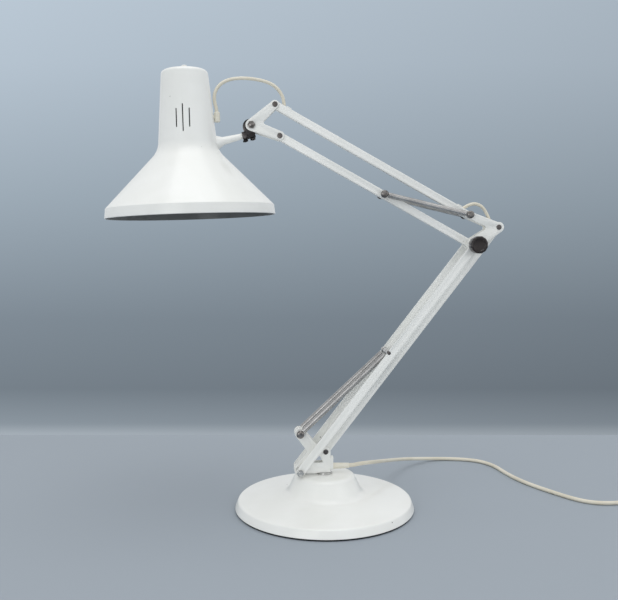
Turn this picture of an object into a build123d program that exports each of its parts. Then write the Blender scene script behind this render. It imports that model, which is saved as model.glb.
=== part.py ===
from build123d import *
from math import atan2, cos, degrees, hypot, pi, radians, sin, sqrt, tan
import os

# A balanced-arm desk lamp: a weighted round base with a swivelling bracket, a lower and an
# upper arm that are both parallelograms held by springs, and a flared shade on a tilting stem.
# Lengths are in millimetres. The origin is on the table under the middle of the base, X runs
# towards the elbow, Y away from the viewer and Z up. The arms lie in the plane Y = 0.

# Clearances and overruns
fit_gap = 0.02
running_gap = 0.05
seat_gap = 0.3
overrun = 20.0

# Base
base_dia = 220.0
felt_thickness = 2.0
felt_inset = 1.5
skirt_height = 10.2
skirt_inset = 3.7
crease_radius = 3.2
boss_foot_dia = 93.0
boss_foot_height = 19.5
boss_foot_radius = 11.0
boss_top_dia = 72.0
boss_height = 43.2
boss_top_radius = 7.0
shell_wall = 1.5
weight_pocket_dia = 34.0
weight_pocket_height = 24.0

# Swivel under the bracket
spindle_dia = 8.0
spindle_foot_height = 10.0
spindle_top_rise = 1.6
bush_dia = 15.0
bush_flange_dia = 19.0
bush_flange_thickness = 2.0
swivel_washer_dia = 22.0
swivel_washer_thickness = 1.6
swivel_nut_flats = 13.0
swivel_nut_height = 6.5

# Bracket folded from sheet
sheet = 1.5
cheek_gap = 9.0
arm_pivot_x = -31.8
arm_pivot_height = 49.6
link_shift_x = 32.6
link_shift_z = 21.6
spring_anchor_shift_x = 0.8
spring_anchor_rise = 45.6
arm_lobe_radius = 6.0
link_lobe_radius = 5.9
anchor_lobe_radius = 6.2
limb_length = 37.0
limb_angle = -51.5
limb_root_radius = 7.8
bracket_shoulder = 23.9
bracket_fillet = 2.5
bracket_web_height = 19.0
foot_reach = 9.0
window_width = 12.3
window_height = 9.4
window_rise = 12.5
window_right = 9.4
window_apex_share = 0.68
window_corner_radius = 0.8

# Lead gland and the leads
gland_thickness = 3.6
gland_width = 9.0
gland_foot_height = 48.0
gland_height = 16.5
gland_corner_radius = 2.5
gland_axis_height = 52.0
sleeve_length = 20.0
sleeve_bore_depth = 4.6
sleeve_root_dia = 7.6
sleeve_tip_dia = 6.4
mains_dia = 5.0
lead_dia = 4.0

# Arms
rail_height = 10.0
rail_thickness = 1.8
rail_spread = 37.0
lower_arm_length = 347.8
lower_arm_angle = 52.15
bar_height = 9.0
link_height = 8.4
bar_width = 8.0
bar_wall = 1.2
bar_end_solid = 6.0
upper_arm_length = 268.8
upper_arm_angle = 151.42
elbow_shift_x = -5.7
elbow_shift_z = 36.5

# Elbow and head plates
elbow_lobe_radius = 8.0
elbow_tip_radius = 6.4
elbow_limb_radius = 5.4
elbow_anchor_radius = 4.5
plate_notch_radius = 3.0
notch_reach = 11.0
head_tilt_shift_x = -33.6
head_tilt_shift_z = 12.0
head_tilt_lobe_radius = 6.8
head_upper_lobe_radius = 4.8
head_lower_lobe_radius = 5.4

# Pins, bolts, rivets and sleeves
bolt_dia = 5.0
nut_flats = 8.0
nut_height = 2.7
bolt_end = 0.9
rivet_dia = 4.0
rivet_head_dia = 6.4
rivet_head_height = 0.9
rivet_head_round = 0.6
sleeve_dia = 8.0
spring_sleeve_dia = 6.6
eye_room = 2.9
spring_pin_dia = 4.4
spring_pin_reach = 16.0
cap_nut_dia = 9.4
cap_nut_length = 4.4
cap_nut_round = 2.6
cap_nut_bore_depth = 2.6
lower_spring_pin_along = 180.0
lower_spring_pin_rise = 3.4
upper_spring_pin_along = 126.6

# Elbow knob
knob_dia = 21.0
knob_length = 11.0
knob_flutes = 12
knob_flute_dia = 3.4
knob_flute_depth = 1.0
knob_front_round = 1.6
knob_hub_dia = 12.0
knob_hub_length = 1.5
knob_bore_depth = 9.0
knob_washer_thickness = 1.4

# Springs: one wire each, with an eye round a pin at both ends
spring_y = 9.9
coil_dia = 6.9
wire_dia = 1.2
eye_gap = 0.25
eye_neck = 3.4
eye_bend = 1.5
eye_bend_share = 1.25
lower_spring_curls = 18
upper_spring_curls = 13
eye_tail_angle = 60.0
eye_back_angle = 165.0

# Head: tilting knuckle and stem
knuckle_width = 8.2
knuckle_eye_radius = 8.6
knuckle_eye_shift = 1.4
stem_drop = 9.6
stem_angle = 14.5
socket_end = 13.1
socket_length = 15.0
socket_bore_depth = 12.9
socket_dia = 10.0
spigot_dia = 5.6
stem_small_dia = 6.6
stem_large_dia = 9.4
stem_length = 23.0
cup_dia = 17.0
cup_length = 8.0
cup_collar = 4.0
stud_dia = 6.0
stud_length = 53.0
stud_nut_flats = 10.0
stud_nut_height = 4.5
stud_nut_start = 46.7
clamp_screw_dia = 3.0
clamp_screw_inner = 3.2
clamp_screw_outer = 7.7
clamp_nut_flats = 5.5
clamp_nut_height = 2.2
clamp_nut_drop = 6.2
clamp_screw_first = 1.9
clamp_screw_spacing = 9.0

# Shade, placed from the tilt bolt
shade_shift_x = -71.26
shade_shift_z = -107.52
shade_lean = 2.06
rim_dia = 199.0
lip_height = 11.5
lip_top_dia = 196.6
neck_foot_dia = 69.8
neck_foot_height = 76.8
neck_top_dia = 54.0
shade_length = 169.5
shade_wall = 1.0
neck_radius = 28.0
crown_radius = 5.0
slot_width = 1.3
slot_spacing = 7.4
slot_long = 31.5
slot_short = 21.6
slot_drop = 58.5
slot_turn = -13.5
inner_corner_share = 0.44

# Lampholder, switch and bulb, hung from the shade's crown
holder_dia = 38.0
holder_drop = 23.5
holder_length = 50.0
holder_round = 4.0
bulb_cap_dia = 26.0
bulb_cap_inset = 3.0
bulb_cap_length = 24.0
bulb_tip_dia = 9.0
bulb_tip_length = 2.0
bulb_dia = 60.0
bulb_neck_dia = 25.0
bulb_reach = 57.0
bulb_neck_length = 19.0
bulb_wall = 1.0
switch_dia = 22.0
switch_neck_dia = 7.9
switch_collar_dia = 10.0
switch_collar_length = 2.6
switch_well_depth = 8.2
button_dia = 6.2
button_depth = 4.5
button_rise = 3.7
button_round = 0.8
grommet_dia = 7.0
grommet_length = 12.0
grommet_drop = 54.0
grommet_stand = 0.4
grommet_neck_dia = 4.6
grommet_tail = 2.5
grommet_round = 1.3
grommet_bore_depth = 3.0

# Lead clips on the upper link
clip_wall = 1.1
clip_length = 6.0
head_clip_along = 16.5
elbow_clip_along = 14.5
link_lead_margin = 5.0

# Lead routes, chosen by hand: at the head from its upper rivet, at the elbow from the
# spring pin, and on the table from the base's middle
head_rise_route = [
    (24.84, -14.72),
    (11.64, -7.52),
    (10.74, 7.28),
    (6.14, 15.98),
]
head_loop_route = [
    (-0.86, 23.08),
    (-11.86, 27.58),
    (-26.86, 30.08),
    (-41.86, 30.48),
    (-54.46, 28.28),
]
head_drop_route = [
    (-63.66, 23.28),
    (-69.16, 16.08),
    (-71.06, 8.08),
    (-70.26, 0.68),
    (-68.21, -5.92),
    (-67.96, -11.92),
]
elbow_lead_route = [
    (-23.31, 11.47),
    (-11.01, 4.77),
    (1.89, 12.67),
    (10.39, 14.07),
    (18.49, 10.57),
    (23.29, 3.87),
    (26.49, -2.53),
    (29.09, -9.33),
    (28.99, -16.03),
]
mains_route = [
    (26.0, 0.0, 52.0),
    (35.5, 0.0, 52.1),
    (45.1, 5.0, 52.4),
    (60.0, 19.0, 49.3),
    (76.4, 47.0, 41.8),
    (94.0, 84.0, 31.6),
    (112.0, 114.0, 23.4),
    (132.0, 143.0, 15.6),
    (156.5, 167.0, 8.4),
    (183.0, 181.5, 3.6),
    (210.0, 182.0, 2.6),
    (236.0, 175.0, 2.7),
    (256.0, 162.0, 2.6),
    (267.0, 137.0, 2.7),
    (270.0, 107.0, 2.6),
    (276.0, 76.0, 2.7),
    (287.0, 47.0, 2.6),
    (301.0, 20.0, 2.7),
    (315.0, -5.0, 2.6),
    (331.0, -23.0, 2.7),
    (353.0, -29.0, 2.6),
    (380.0, -27.0, 2.7),
    (408.0, -29.0, 2.6),
    (434.0, -27.5, 2.6),
    (462.0, -27.5, 2.6),
]
corner_share = 0.45
bore_share = 0.04
lead_sides = 8
wire_sides = 4

# Put-away coil of the mains lead, and its plug
coil_radius = 48.0
coil_inward = 4
coil_outward = 3
coil_turn_gap = 0.6
coil_layer_gap = 0.1
tail_length = 55.0
tail_sway = 6.0
plug_width = 35.0
plug_thickness = 13.7
plug_block_length = 22.0
plug_nose_length = 14.0
plug_nose_width = 9.0
plug_corner_radius = 5.0
plug_bore_depth = 4.0
plug_pin_dia = 4.0
plug_pin_length = 19.0
plug_pin_spacing = 18.6


def place(start, along, rise, angle):
    """Gives the point that lies along a direction from start, and to the left of it."""
    a = radians(angle)
    return (start[0] + along * cos(a) - rise * sin(a), start[1] + along * sin(a) + rise * cos(a))


# Pivot points in the plane of the arms, as X and Z
arm_pivot = (arm_pivot_x, arm_pivot_height)
link_pivot = (arm_pivot[0] + link_shift_x, arm_pivot[1] + link_shift_z)
spring_anchor = (arm_pivot[0] + spring_anchor_shift_x, arm_pivot[1] + spring_anchor_rise)
elbow = place(arm_pivot, lower_arm_length, 0, lower_arm_angle)
link_tip = (elbow[0] + link_shift_x, elbow[1] + link_shift_z)
upper_anchor = (elbow[0] + elbow_shift_x, elbow[1] + elbow_shift_z)
head_lower = place(elbow, upper_arm_length, 0, upper_arm_angle)
head_upper = (head_lower[0] + elbow_shift_x, head_lower[1] + elbow_shift_z)
tilt = (head_lower[0] + head_tilt_shift_x, head_lower[1] + head_tilt_shift_z)
lower_spring_pin = place(arm_pivot, lower_spring_pin_along, lower_spring_pin_rise, lower_arm_angle)
upper_spring_pin = place(elbow, upper_spring_pin_along, 0, upper_arm_angle)

# Half widths across the arms
cheek_inner = cheek_gap / 2
cheek_outer = cheek_inner + sheet
rail_outer = rail_spread / 2
rail_inner = rail_outer - rail_thickness
bar_half = bar_width / 2

# The stem's axis, from under the tilt bolt towards the shade
stem_heading = stem_angle + 180
stem_root = place(tilt, stem_drop, 0, stem_angle - 90)
bracket_bottom = boss_height + bush_flange_thickness + seat_gap
bracket_right = link_pivot[0] + link_lobe_radius

# Heights above the rim in the shade's own frame
slot_height = shade_length - slot_drop
grommet_height = shade_length - grommet_drop
holder_top = shade_length - holder_drop
holder_foot = holder_top - holder_length
cap_foot = holder_foot + bulb_cap_inset
cap_top = cap_foot + bulb_cap_length
bulb_middle = cap_foot - bulb_reach
bulb_neck_foot = cap_foot - bulb_neck_length


def outline(corners):
    """Makes a face from corners given as two places and the radius of each."""
    face = make_face(Polyline(*[(a, b) for a, b, _ in corners], close=True))
    for a, b, radius in corners:
        if radius:
            face = fillet(face.vertices().sort_by_distance((a, b))[0], radius)
    return face


def slab(face, y_from, y_to):
    """Extrudes a face drawn in X and Z from one Y to a larger one."""
    return extrude(Plane.XZ.offset(-y_to) * face, amount=y_to - y_from)


def disc(point, radius):
    """Draws a circle round a point in X and Z."""
    return Pos(*point) * Circle(radius)


def rod(point, radius, y_from, y_to):
    """Makes a round bar across the arms."""
    return slab(disc(point, radius), y_from, y_to)


def limb(start, end, start_radius, end_radius):
    """Draws the straight-sided outline round two circles."""
    return make_hull((disc(start, start_radius) + disc(end, end_radius)).edges())


def pair(make):
    """Makes a thing on the near side and its mirror image on the far side."""
    near = make()
    return Compound([*near.solids(), *near.mirror(Plane.XZ).solids()])


def ring(radius, bore, bottom, top):
    """Makes an upright ring on the Z axis, or a disc where the bore is nil."""
    face = Circle(radius) - Circle(bore) if bore else Circle(radius)
    return Pos(0, 0, bottom) * extrude(face, amount=top - bottom)


def beam(point, angle, along, rise, length, height, width):
    """Makes a block in a bar's own frame, centred at a distance along and above its axis."""
    x, z = place(point, along, rise, angle)
    return Pos(x, 0, z) * Rot(0, -angle, 0) * Box(length, width, height)


# Base

def base_line(inset):
    """Gives the base's outer profile, drawn in by an inset, from the axis to the skirt."""
    crease = felt_thickness + skirt_height - inset
    return [
        (0, boss_height - inset, 0),
        (boss_top_dia / 2 - inset, boss_height - inset, boss_top_radius - inset),
        (boss_foot_dia / 2 - inset, boss_foot_height - inset, boss_foot_radius + inset),
        (base_dia / 2 - skirt_inset - inset, crease, crease_radius - inset),
        (base_dia / 2 - inset, felt_thickness, 0),
    ]


def base_shell():
    corners = base_line(0) + base_line(shell_wall)[::-1]
    shell = revolve(Plane.XZ * outline(corners), Axis.Z)
    return shell - ring(bush_dia / 2 + fit_gap, 0, 0, boss_height + overrun)


def base_weight():
    corners = base_line(shell_wall + seat_gap)
    weight = revolve(Plane.XZ * outline(corners + [(0, felt_thickness, 0)]), Axis.Z)
    pocket = ring(weight_pocket_dia / 2, 0, 0, weight_pocket_height)
    return weight - pocket - ring(bush_dia / 2 + fit_gap, 0, 0, boss_height)


def base_felt():
    return ring(base_dia / 2 - felt_inset, 0, 0, felt_thickness)


def swivel_bush():
    bore = spindle_dia / 2 + running_gap
    flange_top = boss_height + bush_flange_thickness
    flange = ring(bush_flange_dia / 2, bore, boss_height, flange_top)
    return flange + ring(bush_dia / 2, bore, weight_pocket_height, boss_height)


def swivel_spindle():
    washer_top = weight_pocket_height - seat_gap
    nut_top = washer_top - swivel_washer_thickness
    nut_bottom = nut_top - swivel_nut_height
    radius = spindle_dia / 2
    spindle = ring(radius, mains_dia / 2, spindle_foot_height, bracket_bottom + sheet + spindle_top_rise)
    washer = ring(swivel_washer_dia / 2, radius + fit_gap, nut_top, washer_top)
    nut_face = RegularPolygon(swivel_nut_flats / 2, 6, major_radius=False) - Circle(radius + fit_gap)
    nut = Pos(0, 0, nut_bottom) * extrude(nut_face, amount=swivel_nut_height)
    return Compound([*spindle.solids(), *washer.solids(), *nut.solids()])


# Bracket

def cheek_face():
    """Draws one cheek: two lobes on a lower body, and a limb up to the spring anchor."""
    shoulder = place(arm_pivot, bracket_shoulder, arm_lobe_radius, lower_arm_angle)
    lobe_side = place(arm_pivot, 0, arm_lobe_radius, lower_arm_angle)
    corners = [
        lobe_side,
        shoulder,
        link_pivot,
        (bracket_right, link_pivot[1]),
        (bracket_right, bracket_bottom),
        (arm_pivot[0], bracket_bottom),
    ]
    limb_root = place(spring_anchor, limb_length, 0, limb_angle)
    face = make_face(Polyline(*corners, close=True)) + disc(arm_pivot, arm_lobe_radius)
    face += disc(link_pivot, link_lobe_radius)
    face += limb(spring_anchor, limb_root, anchor_lobe_radius, limb_root_radius)
    face = soften(face, shoulder, bracket_fillet)
    floor = Pos(0, bracket_bottom - overrun / 2) * Rectangle(base_dia, overrun)
    face -= floor
    face -= disc(arm_pivot, bolt_dia / 2 + fit_gap)
    face -= disc(link_pivot, rivet_dia / 2 + fit_gap)
    face -= disc(spring_anchor, spring_pin_dia / 2 + fit_gap)
    return face - window_face()


def window_face():
    """Draws the rounded triangular window of a cheek."""
    right = bracket_right - window_right
    bottom = bracket_bottom + window_rise
    left = right - window_width
    return outline([
        (left, bottom, window_corner_radius),
        (right, bottom, window_corner_radius),
        (left + window_width * window_apex_share, bottom + window_height, window_corner_radius),
    ])


def base_bracket():
    cheeks = pair(lambda: slab(cheek_face(), -cheek_outer, -cheek_inner))
    web = block(bracket_right - sheet, bracket_right, bracket_bottom, bracket_bottom + bracket_web_height)
    foot = block(-foot_reach, bracket_right, bracket_bottom, bracket_bottom + sheet)
    bracket = cheeks.solids()[0] + cheeks.solids()[1] + web + foot
    return bracket - ring(spindle_dia / 2 + fit_gap, 0, 0, bracket_bottom + overrun)


def block(x_from, x_to, z_from, z_to):
    """Makes a block as wide as the bracket."""
    box = Box(x_to - x_from, cheek_outer * 2, z_to - z_from)
    return Pos((x_from + x_to) / 2, 0, (z_from + z_to) / 2) * box


def lead_gland():
    centre = gland_foot_height + gland_height / 2
    boss = Box(gland_thickness, gland_width, gland_height)
    boss = Pos(bracket_right + gland_thickness / 2, 0, centre) * boss
    boss = fillet(boss.edges().filter_by(Axis.X), gland_corner_radius)
    face = bracket_right + gland_thickness
    start = Plane((face, 0, gland_axis_height), z_dir=(1, 0, 0))
    cone = Cone(sleeve_root_dia / 2, sleeve_tip_dia / 2, sleeve_length)
    bore = Cylinder(mains_dia / 2 + mains_dia * bore_share, sleeve_bore_depth * 2)
    sleeved = boss + start * Pos(0, 0, sleeve_length / 2) * cone
    return sleeved - start * Pos(0, 0, sleeve_length) * bore


def arm_pivot_bolt():
    face = rail_outer + seat_gap
    end = face + nut_height
    bolt = rod(arm_pivot, bolt_dia / 2, -end - bolt_end, end)
    near = collar_hex(arm_pivot, bolt_dia / 2, -end, -face)
    far = collar_hex(arm_pivot, bolt_dia / 2, face, end)
    return Compound([*bolt.solids(), *near.solids(), *far.solids()])


def collar_hex(point, bore, y_from, y_to):
    """Makes a hexagon nut round a bolt across the arms."""
    face = Pos(*point) * RegularPolygon(nut_flats / 2, 6, major_radius=False)
    return slab(face - disc(point, bore + fit_gap), y_from, y_to)


def sleeve(point, outer, bore, y_from, y_to):
    """Makes a round sleeve on a pin across the arms."""
    return slab(disc(point, outer) - disc(point, bore + fit_gap), y_from, y_to)


def arm_spacers():
    return pair(lambda: sleeve(arm_pivot, sleeve_dia / 2, bolt_dia / 2, seat_gap - rail_inner, -cheek_outer))


def rivet(point, reach):
    """Makes a rivet across the arms with a rounded head at both ends."""
    shank = rod(point, rivet_dia / 2, -reach, reach)
    head = rod(point, rivet_head_dia / 2, -reach - rivet_head_height, -reach)
    head = fillet(head.edges().group_by(Axis.Y)[0], rivet_head_round)
    return shank + head + head.mirror(Plane.XZ)


def link_pivot_rivet():
    return rivet(link_pivot, cheek_outer)


def capped_pin(point):
    """Makes a spring pin across the arms with a cap nut on both ends."""
    radius = spring_pin_dia / 2
    end = spring_pin_reach - cap_nut_length + cap_nut_bore_depth
    pin = rod(point, radius, -end, end)
    cap = rod(point, cap_nut_dia / 2, -spring_pin_reach, cap_nut_length - spring_pin_reach)
    cap = fillet(cap.edges().group_by(Axis.Y)[0], cap_nut_round)
    cap -= rod(point, radius + fit_gap, -end, 0)
    return Compound([*pin.solids(), *cap.solids(), *cap.mirror(Plane.XZ).solids()])


def spring_anchor_pin():
    return capped_pin(spring_anchor)


# Springs

def biarc(start, start_heading, end, end_heading):
    """Joins two points by two arcs that keep the heading at both."""
    chord = end - start
    both = chord.dot(start_heading + end_heading)
    bend = (1 - start_heading.dot(end_heading)) * 2
    reach = (sqrt(both * both + bend * chord.dot(chord)) - both) / bend
    leaving = start + start_heading * reach
    arriving = end - end_heading * reach
    middle = (leaving + arriving) / 2
    first = TangentArc(start, middle, tangent=start_heading)
    return [first, TangentArc(middle, end, tangent=arriving - leaving)]


def spring(start, end, curls):
    """Makes the near spring between two pins as one unbroken wire with an eye at both ends.

    Each half curl is a half circle tilted along the spring, so that the curls join smoothly.
    """
    span = hypot(end[0] - start[0], end[1] - start[1])
    angle = degrees(atan2(end[1] - start[1], end[0] - start[0]))
    eye = spring_pin_dia / 2 + eye_gap + wire_dia / 2
    coil = (coil_dia - wire_dia) / 2
    offset = atan2(eye_bend, sqrt(coil * coil - eye_bend * eye_bend))
    first = eye_neck + eye_bend * eye_bend_share
    halves = curls * 2
    advance = (span - first * 2) / (halves - offset * 2 / pi)
    print("spring gap", round(advance * 2 - wire_dia, 2))

    def at(x, y, z):
        px, pz = place(start, x, z, angle)
        return Vector(px, y - spring_y, pz)

    def eye_at(degree, far):
        x = eye * cos(radians(degree))
        return at(span - x if far else x, 0, eye * sin(radians(degree)))

    def coil_at(half):
        side = -1 if half % 2 else 1
        return at(first + advance * half, -coil * sin(offset) * side, coil * cos(offset) * side)

    def across(half):
        side = -1 if half % 2 else 1
        return at(0, -cos(offset) * side, -sin(offset) * side) - at(0, 0, 0)

    def half_curl(half, share):
        here = coil_at(half)
        there = coil_at(half + 1)
        centre = (here + there) / 2
        radius = (there - here).length / 2
        along = (there - here).normalized()

        def on_circle(turned):
            return centre - along * radius * cos(turned) + across(half) * radius * sin(turned)

        arc = ThreePointArc(here, on_circle(pi * share / 2), on_circle(pi * share))
        return arc, along * sin(pi * share) + across(half) * cos(pi * share)

    ahead = at(1, 0, 0) - at(0, 0, 0)
    neck_in = at(eye_neck, 0, eye)
    neck_out = at(span - eye_neck, 0, eye)
    last, last_heading = half_curl(halves - 1, 1 - offset * 2 / pi)
    edges = [
        ThreePointArc(eye_at(-eye_tail_angle, False), eye_at(-eye_back_angle, False), at(0, 0, eye)),
        Line(at(0, 0, eye), neck_in),
        *biarc(neck_in, ahead, coil_at(0), across(0)),
        *[half_curl(half, 1)[0] for half in range(halves - 1)],
        last,
        *biarc(last @ 1, last_heading, neck_out, ahead),
        Line(neck_out, at(span, 0, eye)),
        ThreePointArc(at(span, 0, eye), eye_at(-eye_back_angle, True), eye_at(-eye_tail_angle, True)),
    ]
    path = Wire(edges)
    section = Plane(path @ 0, z_dir=path % 0) * RegularPolygon(wire_dia / 2, wire_sides)
    return sweep(section, path=path, clean=False)


def lower_spring():
    return spring(spring_anchor, lower_spring_pin, lower_spring_curls)


def upper_spring():
    return spring(upper_anchor, upper_spring_pin, upper_spring_curls)


# Lower arm

def rail():
    """Makes the near rail of the lower arm."""
    face = limb(arm_pivot, elbow, rail_height / 2, rail_height / 2)
    face -= disc(arm_pivot, bolt_dia / 2 + running_gap)
    face -= disc(elbow, bolt_dia / 2 + running_gap)
    face -= disc(lower_spring_pin, spring_pin_dia / 2 + fit_gap)
    return slab(face, -rail_outer, -rail_inner)


def lower_spring_crossbar():
    return rod(lower_spring_pin, spring_pin_dia / 2, -rail_outer, rail_outer)


def rail_spacers():
    outer = spring_sleeve_dia / 2
    bore = spring_pin_dia / 2
    inner_end = spring_y - eye_room / 2
    middle = sleeve(lower_spring_pin, outer, bore, -inner_end, inner_end)
    sides = pair(lambda: sleeve(lower_spring_pin, outer, bore, -rail_inner, -spring_y - eye_room / 2))
    return Compound([*middle.solids(), *sides.solids()])


def bar(start, end, height):
    """Makes a channel bar with solid ends, open on its right-hand side."""
    length = hypot(end[0] - start[0], end[1] - start[1])
    angle = degrees(atan2(end[1] - start[1], end[0] - start[0]))
    depth = overrun + height / 2 - bar_wall
    rise = (height / 2 - bar_wall - overrun) / 2
    solid = slab(limb(start, end, height / 2, height / 2), -bar_half, bar_half)
    inner = bar_width - bar_wall * 2
    return solid - beam(start, angle, length / 2, rise, length - bar_end_solid * 2, depth, inner)


def through(shape, point, radius):
    """Bores a hole across the arms."""
    return shape - rod(point, radius, -bar_width, bar_width)


def lower_link():
    link = bar(link_pivot, link_tip, link_height)
    link = through(link, link_pivot, rivet_dia / 2 + running_gap)
    return through(link, link_tip, rivet_dia / 2 + running_gap)


# Leads

def tube(path, dia, sides):
    """Sweeps a round section along a path, drawn with flat sides of the same area."""
    corner = sqrt(2 * pi / sides / sin(2 * pi / sides))
    section = Plane(path @ 0, z_dir=path % 0) * RegularPolygon(dia / 2 * corner, sides)
    return sweep(section, path=path, clean=False)


def corner_radii(points):
    """Gives each inner corner the radius that takes up a set share of its shorter run."""
    radii = []
    for before, here, after in zip(points, points[1:], points[2:]):
        arriving = Vector(*here) - Vector(*before)
        leaving = Vector(*after) - Vector(*here)
        shorter = min(arriving.length, leaving.length)
        half_turn = radians(arriving.get_angle(leaving)) / 2
        radii.append(shorter * corner_share / tan(half_turn))
    return radii


def rounded_run(points):
    """Draws straight runs joined by tangent arcs, and tells the smallest radius."""
    radii = corner_radii(points)
    print("smallest lead radius", round(min(radii), 1))
    return FilletPolyline(*points, radius=radii)


def flat_lead(pivot, points):
    """Makes a thin lead in the plane of the arms, along points given from a pivot."""
    run = rounded_run([(pivot[0] + x, 0, pivot[1] + z) for x, z in points])
    return tube(Wire(run.edges()), lead_dia, lead_sides)


def link_lead():
    rise = link_height / 2 - bar_wall - lead_dia / 2 - lead_dia * bore_share
    margin = bar_end_solid + link_lead_margin
    start = place(link_pivot, margin, rise, lower_arm_angle)
    end = place(link_pivot, lower_arm_length - margin, rise, lower_arm_angle)
    line = Line((start[0], 0, start[1]), (end[0], 0, end[1]))
    return tube(Wire([line]), lead_dia, lead_sides)


def arm_lead():
    x, z = elbow_lead_route[0]
    start = (upper_anchor[0] + x, 0, upper_anchor[1] + z)
    x, z = head_rise_route[0]
    end = (head_upper[0] + x, 0, head_upper[1] + z)
    return tube(Wire([Line(start, end)]), lead_dia, lead_sides)


def elbow_lead():
    return flat_lead(upper_anchor, elbow_lead_route)


def midpoint(a, b):
    return ((a[0] + b[0]) / 2, (a[1] + b[1]) / 2)


def head_lead_rise():
    return flat_lead(head_upper, [*head_rise_route, midpoint(head_rise_route[-1], head_loop_route[0])])


def head_lead_loop():
    first = midpoint(head_rise_route[-1], head_loop_route[0])
    last = midpoint(head_loop_route[-1], head_drop_route[0])
    return flat_lead(head_upper, [first, *head_loop_route, last])


def head_lead_drop():
    return flat_lead(head_upper, [midpoint(head_loop_route[-1], head_drop_route[0]), *head_drop_route])


def coil_edges(start):
    """Winds the lead inwards on the table and back outwards on a second layer."""
    pitch = mains_dia + coil_turn_gap
    layer = mains_dia + coil_layer_gap
    here = Vector(*start)
    radius = coil_radius
    side = 1
    edges = []
    for turn in range(coil_inward + 1 + coil_outward):
        climb = layer if turn == coil_inward else 0
        there = here + Vector(0, side * radius * 2, climb)
        centre = (here + there) / 2
        through_point = centre + Vector(side * (there - here).length / 2, 0, 0)
        edges.append(ThreePointArc(here, through_point, there))
        radius += -pitch / 2 if turn < coil_inward else pitch / 2
        side = -side
        here = there
    print("coil gaps", coil_turn_gap, coil_layer_gap)
    return edges, here


def tail_points(start):
    """Gives the last run of the lead, from the coil to the plug."""
    x, y, z = start
    third = tail_length / 3
    return [
        (x, y, z),
        (x + third, y, z),
        (x + third * 2, y + tail_sway, z),
        (x + third * 3, y + tail_sway, z),
    ]


def mains_lead():
    """Makes the free stretch of the mains lead, from the gland to the coil."""
    path = Wire(rounded_run(mains_route).edges())
    print("free lead length", round(path.length))
    return tube(path, mains_dia, lead_sides)


def mains_coil():
    """Makes the put-away coil of the mains lead and its tail into the plug."""
    coil, coil_end = coil_edges(mains_route[-1])
    tail = rounded_run(tail_points(tuple(coil_end)))
    path = Wire([*coil, *tail.edges()])
    print("coil and tail length", round(path.length))
    return tube(path, mains_dia, lead_sides)


def plug_start():
    """Finds the plane in which the mains lead ends, facing along the plug."""
    coil_end = coil_edges(mains_route[-1])[1]
    x, y, z = tail_points(tuple(coil_end))[-1]
    return Pos(x - plug_bore_depth, y, z)


def plug_body():
    length = plug_nose_length + plug_block_length
    nose = plug_nose_width / 2
    half = plug_width / 2
    plan = outline([
        (0, -nose, 0),
        (plug_nose_length, -half, plug_corner_radius),
        (length, -half, plug_corner_radius),
        (length, half, plug_corner_radius),
        (plug_nose_length, half, plug_corner_radius),
        (0, nose, 0),
    ])
    flat = plug_thickness / 2
    side = outline([
        (0, -nose, 0),
        (plug_nose_length, -flat, 0),
        (length, -flat, 0),
        (length, flat, 0),
        (plug_nose_length, flat, 0),
        (0, nose, 0),
    ])
    block = extrude(plan, amount=plug_thickness, both=True)
    block &= extrude(Plane.XZ * side, amount=plug_width, both=True)
    bore = Rot(0, 90, 0) * Cylinder(mains_dia / 2 + mains_dia * bore_share, plug_bore_depth * 2)
    return plug_start() * (block - bore)


def plug_pins():
    length = plug_nose_length + plug_block_length
    pins = []
    for side in (-1, 1):
        place_pin = Pos(length + plug_pin_length / 2, side * plug_pin_spacing / 2, 0) * Rot(0, 90, 0)
        pins.append(plug_start() * place_pin * Cylinder(plug_pin_dia / 2, plug_pin_length))
    return Compound([solid for pin in pins for solid in pin.solids()])


# Elbow

def soften(face, near, radius):
    """Rounds the corner of a face that lies nearest to a place."""
    return fillet(face.vertices().sort_by_distance((near[0], near[1]))[0], radius)


def elbow_plate():
    face = limb(elbow, link_tip, elbow_lobe_radius, elbow_tip_radius)
    face += limb(link_tip, upper_anchor, elbow_limb_radius, elbow_anchor_radius)
    face = soften(face, notch_point(link_tip, elbow, upper_anchor), plate_notch_radius)
    face -= disc(elbow, bolt_dia / 2 + fit_gap)
    face -= disc(link_tip, rivet_dia / 2 + fit_gap)
    face -= disc(upper_anchor, spring_pin_dia / 2 + fit_gap)
    return slab(face, -cheek_outer, -cheek_inner)


def notch_point(corner, first, second):
    """Finds a place inside the angle between two limbs."""
    towards = Vector(*first) - Vector(*corner)
    other = Vector(*second) - Vector(*corner)
    middle = (towards.normalized() + other.normalized()).normalized() * notch_reach
    return (corner[0] + middle.X, corner[1] + middle.Y)


def elbow_rivet():
    return rivet(link_tip, cheek_outer)


def upper_anchor_pin():
    return capped_pin(upper_anchor)


def elbow_bolt():
    face = rail_outer + seat_gap
    end = face + nut_height
    knob_face = face + knob_washer_thickness + seat_gap
    bolt = rod(elbow, bolt_dia / 2, -knob_face - knob_hub_length - knob_bore_depth + seat_gap, end)
    far = collar_hex(elbow, bolt_dia / 2, face, end)
    return Compound([*bolt.solids(), *far.solids()])


def elbow_spacers():
    face = rail_outer + seat_gap
    bore = bolt_dia / 2
    spacers = pair(lambda: sleeve(elbow, sleeve_dia / 2, bore, seat_gap - rail_inner, -cheek_outer))
    washer = sleeve(elbow, knob_hub_dia / 2, bore, -face - knob_washer_thickness, -face)
    return Compound([*spacers.solids(), *washer.solids()])


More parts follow.
